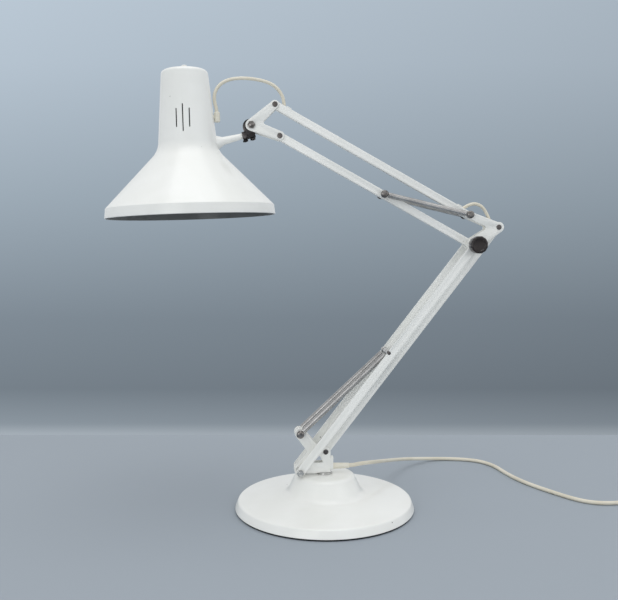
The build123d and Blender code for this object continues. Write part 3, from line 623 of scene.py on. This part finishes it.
def sheathed(
    name: str, points: Sequence[Vector], dia_mm: float, stands_for: Iterable[str]
) -> tuple[Object, list[Vector]]:
    """Makes a round lead along a route.

    Args:
        name: The piece's name.
        points: The route's points, in metres.
        dia_mm: The sheath's diameter.
        stands_for: The solids that it replaces.

    Returns:
        The lead, and the line that it follows.
    """
    curve = route_curve(f"{name}_line", points)
    line = [v.co.copy() for v in read_mesh(curve).vertices]
    curve.data.bevel_depth = dia_mm / 2 * MM
    curve.data.bevel_resolution = 4
    curve.data.use_fill_caps = True
    bm = bmesh.new()
    bm.from_mesh(read_mesh(curve))
    bpy.data.objects.remove(curve)
    bmesh.ops.remove_doubles(bm, verts=bm.verts, dist=0.01 * MM)
    lead = finished(name, bm, [LEAD], None, stands_for, 50.0)
    return lead, line


@dataclass
class Studio:
    """The floor, the backdrop, the soft lights and the camera."""

    camera_place: Triple = (-109.3, -901.9, 324.6)
    heading: Pair = (0.0993, 0.9951)
    pitch: float = 4.23
    lens: float = 43.69
    sensor: float = 36.0
    lamps: tuple[tuple[str, float, float, Triple], ...] = (
        ("overhead_lamp", 1.6, 11.1, (-0.05, -0.4, 2.25)),
        ("left_lamp", 0.9, 4.2, (-0.8, -1.6, 0.4)),
        ("right_lamp", 0.9, 1.4, (1.5, -1.1, 0.7)),
    )
    lit_place: Triple = (0, 0, 0.25)
    sky_colour: str = "#E6E9EC"
    sky_strength: float = 0.93
    seen_colour: str = "#B0BCC8"
    floor_colour: str = "#A0A8B0"
    floor_roughness: float = 0.85
    floor_size: float = 6.0
    backdrop: tuple[tuple[float, str], ...] = (
        (0.0, "#A0A9B1"), (0.025, "#858F98"), (0.1, "#717B84"), (0.25, "#7A858F"),
        (0.5, "#96A3AE"), (0.78, "#AEBBC7"), (1.0, "#B6C3CF"),
    )
    side_light: Pair = (1.1, 0.88)
    backdrop_place: Pair = (16.0, 353.3)
    backdrop_size: float = 4.0
    backdrop_reach: float = 520.0
    backdrop_height: float = 3000.0
    gradient_height: float = 800.0

    def aim(self, thing: Object, place: Vector, target: Vector) -> None:
        """Places a lamp or camera and points it at something."""
        thing.location = place
        thing.rotation_euler = (target - place).to_track_quat("-Z", "Y").to_euler()

    def make_camera(self) -> None:
        """Places the camera where the photograph was taken from."""
        data = bpy.data.cameras.new("camera")
        data.sensor_fit = "HORIZONTAL"
        data.sensor_width = self.sensor
        data.lens = self.lens
        data.clip_start = 0.01
        camera = linked("camera", data)
        place = point(*self.camera_place)
        tilt = math.radians(self.pitch)
        level = Vector((*self.heading, 0)) * math.cos(tilt)
        self.aim(camera, place, place + level - Vector((0, 0, math.sin(tilt))))
        bpy.context.scene.camera = camera

    def make_lamps(self) -> None:
        """Hangs one large soft lamp overhead and two weaker ones at the sides."""
        for name, size, power, place in self.lamps:
            data = bpy.data.lights.new(name, "AREA")
            data.shape = "SQUARE"
            data.size = size
            data.energy = power
            self.aim(linked(name, data), Vector(place), Vector(self.lit_place))

    def make_world(self) -> None:
        """Surrounds the lamp with even pale light."""
        world = bpy.data.worlds.new("studio")
        world.use_nodes = True
        bpy.context.scene.world = world
        tree = world.node_tree
        sky = tree.nodes["Background"]
        sky.inputs["Color"].default_value = srgb(self.sky_colour)
        sky.inputs["Strength"].default_value = self.sky_strength
        seen = add_node(tree, "Background", inputs={"Color": srgb(self.seen_colour)})
        path = add_node(tree, "LightPath")
        mix = add_node(
            tree, "MixShader",
            links={0: path.outputs["Is Camera Ray"], 1: sky.outputs[0], 2: seen.outputs[0]},
        )
        tree.links.new(mix.outputs[0], tree.nodes["World Output"].inputs["Surface"])
        bpy.context.scene.view_settings.view_transform = "Standard"

    def make_floor(self) -> None:
        """Lays a wide matt floor."""
        bm = bmesh.new()
        bmesh.ops.create_grid(bm, x_segments=8, y_segments=8, size=self.floor_size)
        material, tree = node_material("pale_studio_floor")
        shader = tree.nodes["Principled BSDF"]
        shader.inputs["Base Color"].default_value = srgb(self.floor_colour)
        shader.inputs["Roughness"].default_value = self.floor_roughness
        floor = placed("floor", bm)
        floor.data.materials.append(material)

    def backdrop_material(self) -> Material:
        """Paints the backdrop with its own pale light, seen only from its front.

        Returns:
            The material.
        """
        material, tree = node_material("plain_backdrop")
        tree.nodes.clear()
        place = add_node(tree, "TexCoord")
        split = add_node(tree, "SeparateXYZ", links={0: place.outputs["Object"]})
        height = add_node(
            tree, "MapRange",
            inputs={"From Min": 0.0, "From Max": self.gradient_height * MM},
            links={"Value": split.outputs["Z"]},
        )
        side_to_side = add_node(
            tree, "MapRange",
            inputs={
                "From Min": (self.backdrop_place[0] - self.backdrop_reach) * MM,
                "From Max": (self.backdrop_place[0] + self.backdrop_reach) * MM,
                "To Min": self.side_light[0], "To Max": self.side_light[1],
            },
            links={"Value": split.outputs["X"]},
        )
        colour = add_ramp(tree, height.outputs["Result"], self.backdrop)
        glow = add_node(
            tree, "Emission", links={"Color": colour, "Strength": side_to_side.outputs["Result"]}
        )
        clear = add_node(tree, "BsdfTransparent")
        path = add_node(tree, "LightPath")
        side = add_node(tree, "NewGeometry")
        seen = add_node(
            tree, "Math", {"operation": "MAXIMUM"},
            links={0: path.outputs["Is Camera Ray"], 1: path.outputs["Is Transmission Ray"]},
        )
        shown = add_node(
            tree, "Math", {"operation": "SUBTRACT", "use_clamp": True},
            links={0: seen.outputs[0], 1: side.outputs["Backfacing"]},
        )
        mix = add_node(
            tree, "MixShader",
            links={0: shown.outputs[0], 1: clear.outputs[0], 2: glow.outputs[0]},
        )
        add_node(tree, "OutputMaterial", links={"Surface": mix.outputs[0]})
        return material

    def make_backdrop(self) -> None:
        """Stands a plain backdrop behind the lamp, square to the camera."""
        bm = bmesh.new()
        bmesh.ops.create_grid(bm, x_segments=1, y_segments=1, size=1.0)
        half = self.backdrop_height / 2
        bmesh.ops.scale(bm, vec=(self.backdrop_size, half * MM, 1.0), verts=bm.verts)
        turn_about(bm, "X", 90)
        turn_about(bm, "Z", -math.degrees(math.atan2(*self.heading)))
        bmesh.ops.translate(bm, vec=point(*self.backdrop_place, half), verts=bm.verts)
        backdrop = placed("backdrop", bm)
        backdrop.data.materials.append(self.backdrop_material())

    def make(self) -> None:
        """Sets the whole studio up."""
        self.make_camera()
        self.make_world()
        self.make_lamps()
        self.make_floor()
        self.make_backdrop()


@dataclass
class MainsLead:
    """The mains lead: it leaves the gland, crosses the table and is put away in a coil."""

    dia: float = 5.0
    length: float = 1.785
    route: tuple[Triple, ...] = (
        (26.0, 0.0, 52.0), (35.5, 0.0, 52.1), (45.1, 5.0, 52.4), (60.0, 19.0, 49.3),
        (76.4, 47.0, 41.8), (94.0, 84.0, 31.6), (112.0, 114.0, 23.4), (132.0, 143.0, 15.6),
        (156.5, 167.0, 8.4), (183.0, 181.5, 3.6), (210.0, 182.0, 2.6), (236.0, 175.0, 2.7),
        (256.0, 162.0, 2.6), (267.0, 137.0, 2.7), (270.0, 107.0, 2.6), (276.0, 76.0, 2.7),
        (287.0, 47.0, 2.6), (301.0, 20.0, 2.7), (315.0, -5.0, 2.6), (331.0, -23.0, 2.7),
        (353.0, -29.0, 2.6), (380.0, -27.0, 2.7), (408.0, -29.0, 2.6), (434.0, -27.5, 2.6),
    )
    lie: float = 2.6
    coil_x: float = 462.0
    inward_y: float = 21.9
    outward_y: float = 19.1
    radius: float = 49.4
    shrink: float = 2.8
    inward_halves: int = 5
    outward_halves: int = 3
    per_half: int = 8
    layer: float = 5.1
    tail: tuple[Pair, ...] = ((480.3, -27.5), (498.7, -21.5), (517.0, -21.5))
    gland: Triple = (10.3, 0, 52.0)
    sleeve_bore: float = 2.62
    sleeve_radius: float = 3.8
    ribs: int = 7
    rib_depth: float = 0.35

    def coil(self) -> list[Vector]:
        """Gives the coil's own points, inwards on the table and outwards on top.

        Returns:
            The points, 16 for each turn, set out so that the smooth line keeps its radius.
        """
        made = []
        spread = 1 / math.cos(math.pi / (2 * self.per_half))
        last = (self.inward_halves + self.outward_halves) * self.per_half
        turning = self.inward_halves * self.per_half
        climb = (self.inward_halves - 1) * self.per_half
        for step in range(last + 1):
            angle = math.pi * step / self.per_half - math.pi / 2
            halves = step / self.per_half
            if step <= turning:
                radius, middle = self.radius - self.shrink * halves, self.inward_y
            else:
                inmost = self.radius - self.shrink * (self.inward_halves - 1)
                radius = inmost + self.shrink * (halves - self.inward_halves)
                middle = self.outward_y
            rise = min(max((step - climb) / self.per_half, 0.0), 1.0)
            reach = radius * (spread if 0 < step < last else 1.0)
            x = self.coil_x + reach * math.cos(angle)
            y = middle + reach * math.sin(angle)
            made.append(point(x, y, self.lie + self.layer * rise))
        return made

    def make_sleeve(self) -> Object:
        """Turns the ribbed strain relief that holds the lead at its gland.

        Returns:
            The sleeve.
        """
        profile = [(self.sleeve_bore, 0.0), (self.sleeve_radius, 0.0)]
        for rib in range(self.ribs):
            along = 1.4 + rib * 2.6
            crest = self.sleeve_radius - 0.6 * along / 20.0
            root = crest - self.rib_depth
            profile += [(crest, along), (root, along + 0.3)]
            profile += [(root, along + 1.0), (crest, along + 1.3)]
        profile += [(3.2, 19.6), (3.0, 20.0), (self.sleeve_bore, 20.0)]
        bm = turned(profile, 32)
        turn_about(bm, "Y", 90)
        bmesh.ops.translate(bm, vec=point(*self.gland), verts=bm.verts)
        return finished("strain_relief", bm, [IVORY], Body.BRACKET, (), 30.0)

    def make_plug(self) -> list[Object]:
        """Finishes the moulded plug and its two pins."""
        body = dressed("plug_body", IVORY, Body.BASE, 1.0, 40.0)
        pins = dressed("plug_pins", BRIGHT, Body.BASE, 0.6, 40.0)
        return [body, pins]

    def make(self) -> None:
        points = [point(*p) for p in self.route] + self.coil()
        points += [point(x, y, self.lie + self.layer) for x, y in self.tail]
        lead, line = sheathed("mains_lead_sheath", points, self.dia, ("mains_lead", "mains_coil"))
        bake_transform(lead)
        pieces = [self.make_sleeve(), *self.make_plug()]


@dataclass
class LampLeads:
    """The thin lead that loops over the elbow and from the arm's end to the shade."""

    dia: float = 4.0
    elbow: tuple[Pair, ...] = (
        (152.6, 372.2), (164.9, 365.5), (177.8, 373.4), (186.3, 374.8), (194.4, 371.3),
        (199.2, 364.6), (202.4, 358.2), (205.0, 351.4), (204.9, 344.7),
    )
    head: tuple[Pair, ...] = (
        (-35.3, 474.6), (-48.5, 481.8), (-49.4, 496.6), (-54.0, 505.3), (-61.0, 512.4),
        (-72.0, 516.9), (-87.0, 519.4), (-102.0, 519.8), (-114.6, 517.6), (-123.8, 512.6),
        (-129.3, 505.4), (-131.2, 497.4), (-130.4, 490.0), (-128.35, 483.4), (-128.1, 477.4),
    )
    rise_ends: int = 4
    loop_ends: int = 9

    def lay(
        self,
        name: str,
        points: Sequence[Pair],
        node: str,
    ) -> None:
        """Lays one stretch of the lead.

        Args:
            name: The piece's name.
            points: Its points in the arms' plane.
            node: The solid that it replaces.
        """
        route = [point(x, 0, z) for x, z in points]
        lead, line = sheathed(name, route, self.dia, (node,))
        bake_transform(lead)

    def make(self) -> None:
        """Lays the four stretches, and finishes the two that run along the arms."""
        first, second = (
            tuple((self.head[end - 1][i] + self.head[end][i]) / 2 for i in (0, 1))
            for end in (self.rise_ends, self.loop_ends)
        )
        rise = [*self.head[: self.rise_ends], first]
        loop = [first, *self.head[self.rise_ends : self.loop_ends], second]
        drop = [second, *self.head[self.loop_ends :]]
        self.lay("elbow_lead_loop", self.elbow, "elbow_lead")
        self.lay("head_lead_first", rise, "head_lead_rise")
        self.lay("head_lead_middle", loop, "head_lead_loop")
        self.lay("head_lead_last", drop, "head_lead_drop")
        dress(Body.UPPER_LINK, ("arm_lead", LEAD, 0.0))
        dress(Body.LOWER_LINK, ("link_lead", LEAD, 0.0))


@dataclass
class Base:
    """The weighted round base: a spun steel cover over a cast disc, on a felt foot."""

    outer: tuple[Triple, ...] = (
        (7.6, 43.2, 0.0), (36.0, 43.2, 7.0), (46.5, 19.5, 11.0),
        (106.3, 12.2, 3.2), (110.0, 2.6, 0.5), (109.5, 2.0, 0.0),
    )
    inner: tuple[Triple, ...] = (
        (108.2, 2.0, 0.0), (105.0, 10.8, 2.0), (45.2, 18.0, 12.0),
        (35.0, 41.7, 5.0), (7.6, 41.7, 0.0),
    )

    def make(self) -> None:
        """Spins the cover and finishes the pieces inside it."""
        profile = rounded(self.outer, 10) + rounded(self.inner, 6)
        cover = turned(profile, 192)
        finished("base_cover", cover, [ENAMEL], Body.BASE, ("base_shell",), 40.0)
        dress(
            Body.BASE,
            ("base_weight", CAST, 1.0), ("base_felt", FELT, 0.4), ("swivel_bush", BRIGHT, 0.3),
        )


@dataclass
class CoilSpring:
    """A close-wound tension spring with an eye round a pin at both ends.

    It is made in two pieces that meet near its first pin: meet says where they meet along the
    spring, and share is not used.
    """

    name: str
    node: str
    start: Pair
    end: Pair
    turns: int
    side: Side
    bodies: tuple[Body, Body]
    wire: float = 1.2
    outer: float = 6.9
    eye: float = 3.05
    eye_turn: float = 305.0
    eye_steps: int = 28
    spring_y: float = 9.9
    neck: float = 4.2
    neck_steps: int = 5
    bend: float = 1.2
    core: float = 3.28
    core_steps: int = 40
    meet: float = 0.2
    share: float = 0.52
    lead_in: float = 0.015
    sides: int = 8
    per_turn: int = 16

    def tip(self, bm: BMesh) -> tuple[list[BMVert], list[BMEdge]]:
        """Draws the round section of the wire where the eye meets its neck.

        Args:
            bm: The mesh that takes it.

        Returns:
            Its verts and its edges.
        """
        made = bmesh.ops.create_circle(
            bm, cap_ends=False, segments=self.sides, radius=self.wire / 2 * MM
        )
        verts = made["verts"]
        bmesh.ops.translate(bm, vec=point(self.eye, 0, 0), verts=verts)
        return verts, list({e for v in verts for e in v.link_edges})

    def half(self) -> BMesh:
        """Winds one half: the eye, its neck and half of the curls, along the upright axis.

        Returns:
            The half spring, its faces numbered 0 before the meeting place and 1 beyond it.
        """
        bm = bmesh.new()
        ring, edges = self.tip(bm)
        spun(bm, ring + edges, (0, 1, 0), math.radians(self.eye_turn), self.eye_steps)
        made = bmesh.ops.extrude_edge_only(bm, edges=self.tip(bm)[1])["geom"]
        moved = only(made, BMVert)
        shift = point((self.outer - self.wire) / 2 - self.eye, -self.bend, self.neck)
        bmesh.ops.translate(bm, vec=shift, verts=moved)
        ring = moved + only(made, BMEdge)
        centre = point(0, 0, self.neck)
        last = spun(bm, ring, (-1, 0, 0), math.radians(90), self.neck_steps, centre=centre)
        length, first = self.length(), self.neck + self.bend
        steps = self.per_turn * self.turns // 2
        rise = (length / 2 - first) / steps
        near = round((self.meet * length - first) / rise)
        for count, number in ((near, 0), (steps - near, 1)):
            before = set(bm.faces)
            last = spun(bm, last, (0, 0, 1), math.tau * count / self.per_turn, count, rise)
            for face in set(bm.faces) - before:
                face.material_index = number
        bmesh.ops.remove_doubles(bm, verts=bm.verts, dist=0.004 * MM)
        return bm

    def fill(self, bm: BMesh, low: float, high: float) -> None:
        """Closes the fine grooves between the curls from the inside.

        Args:
            bm: The spring along the upright axis.
            low: Where the filling starts along it.
            high: Where the filling ends.
        """
        made = bmesh.ops.create_circle(bm, cap_ends=True, segments=24, radius=self.core * MM)
        verts = made["verts"]
        bmesh.ops.translate(bm, vec=point(0, 0, low), verts=verts)
        edges = list({e for v in verts for e in v.link_edges})
        faces = list({f for v in verts for f in v.link_faces})
        steps = max(2, round(self.core_steps * (high - low) / self.length()))
        spun(bm, verts + edges + faces, (0, 0, 1), 0.0, steps, (high - low) / steps)

    def length(self) -> float:
        """Gives the distance between the pins, in millimetres."""
        return math.dist(self.start, self.end)

    def along(self, place: float) -> Vector:
        """Gives the place at a share of the way between the pins."""
        ends = [point(x, 0, z) for x, z in (self.start, self.end)]
        return ends[0] + (ends[1] - ends[0]) * place

    def settle(self, name: str, bm: BMesh, core: Pair, nodes: Iterable[str]) -> None:
        """Closes one piece of the spring and puts it in place.

        Args:
            name: The piece's name.
            bm: Its wire along the upright axis.
            core: Where its filling starts and ends, in millimetres.
            nodes: The solids that it replaces.
        """
        bmesh.ops.holes_fill(bm, edges=[e for e in bm.edges if e.is_boundary], sides=0)
        self.fill(bm, *core)
        bmesh.ops.recalc_face_normals(bm, faces=bm.faces)
        for face in bm.faces:
            face.material_index = 0
        forward = (self.along(1) - self.along(0)).normalized()
        across = Vector((0, 1, 0))
        turn = Matrix((across.cross(forward), across, forward)).transposed().to_4x4()
        place = self.along(0) + point(0, self.spring_y * self.side.value, 0)
        bmesh.ops.transform(bm, matrix=Matrix.Translation(place) @ turn, verts=bm.verts)
        piece = finished(name, bm, [SPRING], None, nodes, 50.0)
        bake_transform(piece)

    def make(self) -> None:
        """Winds the spring and parts it in two where its pieces meet."""
        bm = self.half()
        length = self.length()
        half_turn = Matrix.Translation(point(0, 0, length)) @ Matrix.Rotation(math.pi, 4, "X")
        twin = bmesh.ops.duplicate(bm, geom=bm.verts[:] + bm.edges[:] + bm.faces[:])["geom"]
        for face in only(twin, BMFace):
            face.material_index = 1
        bmesh.ops.transform(bm, matrix=half_turn, verts=only(twin, BMVert))
        bmesh.ops.remove_doubles(bm, verts=bm.verts, dist=0.02 * MM)
        foot = bm.copy()
        for part, number in ((foot, 1), (bm, 0)):
            faces = [f for f in part.faces if f.material_index == number]
            bmesh.ops.delete(part, geom=faces, context="FACES")
        first = self.neck + self.bend
        middle = self.meet * length
        self.settle(f"{self.name}_foot", foot, (first, middle), ())
        self.settle(self.name, bm, (middle, length - first), (self.node,))


def wind_pair(
    level: str, start: Pair, end: Pair, turns: int, bodies: tuple[Body, Body], **shape: float
) -> None:
    """Winds an arm's near and far spring.

    Args:
        level: Which arm they pull on, lower or upper.
        start: The first pin, in the arms' plane.
        end: The second pin.
        turns: The number of their curls.
        bodies: The bodies that hold the two pins; not used.
        shape: Other measures of a spring, where they differ from the usual.
    """
    for side in Side:
        node = f"{level}_spring_{side.name.lower()}"
        CoilSpring(f"{node}_wire", node, start, end, turns, side, bodies, **shape).make()


@dataclass
class Bracket:
    """The folded bracket that turns on the base, with its pins and lead gland."""

    block_end: float = 10.3

    def make_gland(self) -> None:
        """Finishes the gland: an enamelled block with an ivory sleeve."""
        gland = dressed("lead_gland", IVORY, Body.BRACKET, 0.0)
        gland.data.materials.append(material_of(ENAMEL))
        for face in gland.data.polygons:
            if face.center.x <= self.block_end * MM:
                face.material_index = 1

    def make(self) -> None:
        """Finishes the bracket and winds the lower springs."""
        dress(Body.BRACKET, ("base_bracket", ENAMEL, 0.25), ("swivel_spindle", BRIGHT, 0.3))
        self.make_gland()
        dress(
            Body.BRACKET,
            ("arm_pivot_bolt", BRIGHT, 0.25), ("arm_spacers", BRIGHT, 0.2),
            ("link_pivot_rivet", DARK, 0.0), ("spring_anchor_pin", CHROME_PAINTED_REFLECTION, 0.0),
        )
        bodies = (Body.BRACKET, Body.LOWER_ARM)
        wind_pair("lower", (-31.0, 95.2), (75.95, 193.82), 112, bodies)


@dataclass
class LowerArm:
    """The two flat rails and the channel bar between them."""

    def make(self) -> None:
        """Finishes the rails, the crossbar, the distance pieces and the link."""
        dress(
            Body.LOWER_ARM,
            ("rail_near", ENAMEL, 0.3), ("rail_far", ENAMEL, 0.3),
            ("lower_spring_crossbar", DARK, 0.25), ("rail_spacers", BRIGHT, 0.2),
        )
        dress(Body.LOWER_LINK, ("lower_link", ENAMEL, 0.25))


@dataclass
class Elbow:
    """The elbow plates, their pins and the fluted clamping knob."""

    centre: Pair = (181.61, 324.23)
    bore: float = 2.55
    hub_radius: float = 6.0
    hub_back: float = 20.5
    knob_radius: float = 10.5
    knob_back: float = 22.0
    knob_front: float = 33.0
    bore_depth: float = 9.0
    flutes: int = 12
    flute_depth: float = 0.35
    flutes_from: float = 8.4

    def make_knob(self) -> None:
        """Turns the knob with a dished front and presses its flutes in."""
        front = self.knob_front
        profile = rounded(
            [
                (self.bore, self.hub_back, 0.0), (self.hub_radius, self.hub_back, 0.3),
                (self.hub_radius, self.knob_back, 0.4), (self.knob_radius, self.knob_back, 0.8),
                (self.knob_radius, front, 1.6), (7.4, front, 0.6),
                (6.6, front - 0.9, 0.6), (0.0, front - 1.1, 0.0),
            ],
            5,
        )
        bottom = self.hub_back + self.bore_depth
        bm = turned([*profile, (0.0, bottom), (self.bore, bottom)], self.flutes * 12)
        for vert in bm.verts:
            radius = math.hypot(vert.co.x, vert.co.y)
            if radius > self.flutes_from * MM:
                wave = 0.5 + 0.5 * math.cos(math.atan2(vert.co.y, vert.co.x) * self.flutes)
                shrunk = 1 - self.flute_depth * MM * wave**2 / radius
                vert.co.x *= shrunk
                vert.co.y *= shrunk
        turn_about(bm, "X", 90)
        bmesh.ops.translate(bm, vec=point(self.centre[0], 0, self.centre[1]), verts=bm.verts)
        finished("elbow_clamp_knob", bm, [KNOB], Body.ELBOW_KNOB, ("elbow_knob",), 30.0)

    def make(self) -> None:
        """Finishes the plates and pins, and winds the upper springs."""
        dress(
            Body.ELBOW,
            ("elbow_plate_near", ENAMEL, 0.25), ("elbow_plate_far", ENAMEL, 0.25),
            ("elbow_rivet", DARK, 0.0), ("elbow_bolt", BRIGHT, 0.25),
            ("elbow_spacers", BRIGHT, 0.2), ("upper_anchor_pin", CHROME_PAINTED_REFLECTION, 0.0),
        )
        self.make_knob()
        bodies = (Body.ELBOW, Body.UPPER_ARM)
        wind_pair("upper", (175.91, 360.73), (70.43, 384.79), 81, bodies, meet=0.15, share=0.58)


@dataclass
class UpperArm:
    """The two channel bars of the upper arm, with the lead's clips."""

    def make(self) -> None:
        """Finishes both bars, the crossbar and the clips."""
        bar, crossbar = ("upper_arm_bar", ENAMEL, 0.25), ("upper_spring_crossbar", CHROME_PAINTED_REFLECTION, 0.0)
        dress(Body.UPPER_ARM, bar, crossbar)
        dress(Body.UPPER_LINK, ("upper_link_bar", ENAMEL, 0.25), ("lead_clips", ENAMEL, 0.2))


@dataclass
class HeadBracket:
    """The plates at the arm's end and the tilting knuckle between them."""

    def make(self) -> None:
        """Finishes the plates, the rivets and the knuckle."""
        dress(
            Body.HEAD_BRACKET,
            ("head_plate_near", ENAMEL, 0.25), ("head_plate_far", ENAMEL, 0.25),
            ("head_rivets", DARK, 0.0), ("tilt_bolt", CHROME_PAINTED_REFLECTION, 0.25),
        )
        dress(Body.KNUCKLE, ("tilt_knuckle", STEEL_PAINTED_REFLECTION, 0.25), ("clamp_screws", STEEL_PAINTED_REFLECTION, 0.2))


@dataclass
class ShadeHead:
    """The spun shade with its slots, stem, switch, lampholder and bulb."""

    place: Pair = (-159.3, 357.3)
    lean: float = 2.06
    outer: tuple[Triple, ...] = (
        (3.97, 169.5, 0.0), (27.0, 169.5, 5.0), (34.9, 76.8, 28.0),
        (98.3, 11.5, 1.6), (99.5, 0.5, 0.4), (99.0, 0.0, 0.0),
    )
    inner: tuple[Triple, ...] = (
        (98.4, 0.0, 0.0), (97.4, 11.0, 1.0), (33.9, 76.3, 29.0),
        (26.0, 168.5, 4.0), (3.97, 168.5, 0.0),
    )
    crown: float = 168.0
    slots: tuple[Pair, ...] = ((0.0, 31.5), (-7.4, 21.6), (7.4, 21.6))
    slot_height: float = 111.0
    slot_width: float = 1.3
    slot_turn: float = -4.5
    cutter_from: float = 12.0
    cutter_length: float = 30.0
    bowl_radius: float = 30.0
    bowl_centre: float = 42.0
    bulb_wall: float = 1.0
    bulb_neck: tuple[Pair, ...] = (
        (22.0, 65.5), (17.2, 73.5), (14.0, 80.5), (12.6, 87.0), (12.4, 94.0), (12.4, 98.9),
    )

    def matrix(self) -> Matrix:
        """Gives the shade's place, leaning a little to the left."""
        lean = Matrix.Rotation(math.radians(-self.lean), 4, "Y")
        return Matrix.Translation(point(self.place[0], 0, self.place[1])) @ lean

    def slot_cutter(self) -> Object:
        """Makes the round-ended bars that press the slots out, on both sides of the neck.

        Returns:
            The bars as one object.
        """
        bm = bmesh.new()
        for turn in (0, 180):
            for offset, length in self.slots:
                made = bmesh.ops.create_circle(
                    bm, cap_ends=True, segments=24, radius=self.slot_width / 2 * MM
                )
                verts = made["verts"]
                stretch = (length - self.slot_width) / 2 * MM
                for vert in verts:
                    vert.co.y += math.copysign(stretch, vert.co.y) if abs(vert.co.y) > 1e-7 else 0
                faces = list({f for v in verts for f in v.link_faces})
                top = only(bmesh.ops.extrude_face_region(bm, geom=faces)["geom"], BMVert)
                bmesh.ops.translate(bm, vec=point(0, 0, self.cutter_length), verts=top)
                stand = (
                    Matrix.Rotation(math.radians(self.slot_turn + turn), 4, "Z")
                    @ Matrix.Translation(point(offset, -self.cutter_from, self.slot_height))
                    @ Matrix.Rotation(math.radians(90), 4, "X")
                )
                bmesh.ops.transform(bm, matrix=stand, verts=verts + top)
        bmesh.ops.recalc_face_normals(bm, faces=bm.faces)
        bmesh.ops.transform(bm, matrix=self.matrix(), verts=bm.verts)
        return placed("slot_cutter", bm)

    def make_shade(self) -> None:
        """Spins the shade, presses its slots and finishes both of its sides."""
        bm = turned(rounded(self.outer, 12) + rounded(self.inner, 12), 160)
        bmesh.ops.transform(bm, matrix=self.matrix(), verts=bm.verts)
        blank = placed("shade_blank", bm)
        cutter = self.slot_cutter()
        press = blank.modifiers.new("slots", "BOOLEAN")
        press.operation = "DIFFERENCE"
        press.solver = "EXACT"
        press.object = cutter
        bm = bmesh.new()
        bm.from_mesh(read_mesh(blank))
        bpy.data.objects.remove(blank)
        bpy.data.objects.remove(cutter)
        back = self.matrix().inverted()
        for face in bm.faces:
            middle = back @ face.calc_center_median()
            facing = back.to_3x3() @ face.normal
            outwards = facing.x * middle.x + facing.y * middle.y
            crown = middle.z > self.crown * MM
            # Inward faces take the inner finish, whose dark grey is painted shade.
            face.material_index = 0 if (facing.z > 0 if crown else outwards > 0) else 1
        finished("spun_shade", bm, [ENAMEL, INNER_PAINTED_SHADE], Body.SHADE, ("shade",), 40.0)

    def make_bulb(self) -> None:
        """Blows the bulb: a round bowl that draws in to its cap."""
        profile: list[Pair] = []
        for step in range(25):
            angle = math.radians(-90 + step * 5.4)
            across = max(self.bowl_radius * math.cos(angle), 0.0)
            profile.append((across, self.bowl_centre + self.bowl_radius * math.sin(angle)))
        profile += self.bulb_neck
        wall = self.bulb_wall
        inside = [
            (max(r - wall, 0.0), z + (wall if z < self.bowl_centre else 0.0))
            for r, z in reversed(profile)
        ]
        bm = turned(profile + inside, 64)
        bmesh.ops.transform(bm, matrix=self.matrix(), verts=bm.verts)
        finished("opal_bulb", bm, [OPAL], Body.SHADE, ("bulb_glass",), 60.0)

    def make(self) -> None:
        """Builds the whole head."""
        self.make_shade()
        self.make_bulb()
        dress(
            Body.SHADE,
            ("head_stem", ENAMEL, 0.3), ("stem_nut", BRIGHT, 0.2), ("lead_grommet", IVORY, 0.0),
            ("lampholder", BLACK, 0.0), ("bulb_cap", BRASS, 0.3), ("switch_body", WHITE, 0.3),
        )
        dress(Body.SWITCH_BUTTON, ("switch_button", WHITE, 0.0))


def main() -> None:
    """Builds the lamp piece by piece."""
    logging.basicConfig(level=logging.INFO, format="%(message)s")
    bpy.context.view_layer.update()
    steps: list[tuple[str, Callable[[], None]]] = [
        ("studio", Studio().make),
        ("mains lead", MainsLead().make),
        ("lamp leads", LampLeads().make),
        ("base", Base().make),
        ("bracket", Bracket().make),
        ("lower arm", LowerArm().make),
        ("elbow", Elbow().make),
        ("upper arm", UpperArm().make),
        ("head bracket", HeadBracket().make),
        ("shade head", ShadeHead().make),
    ]
    for name, step in steps:
        log.info("building the %s", name)
        step()


if __name__ == "__main__":
    main()
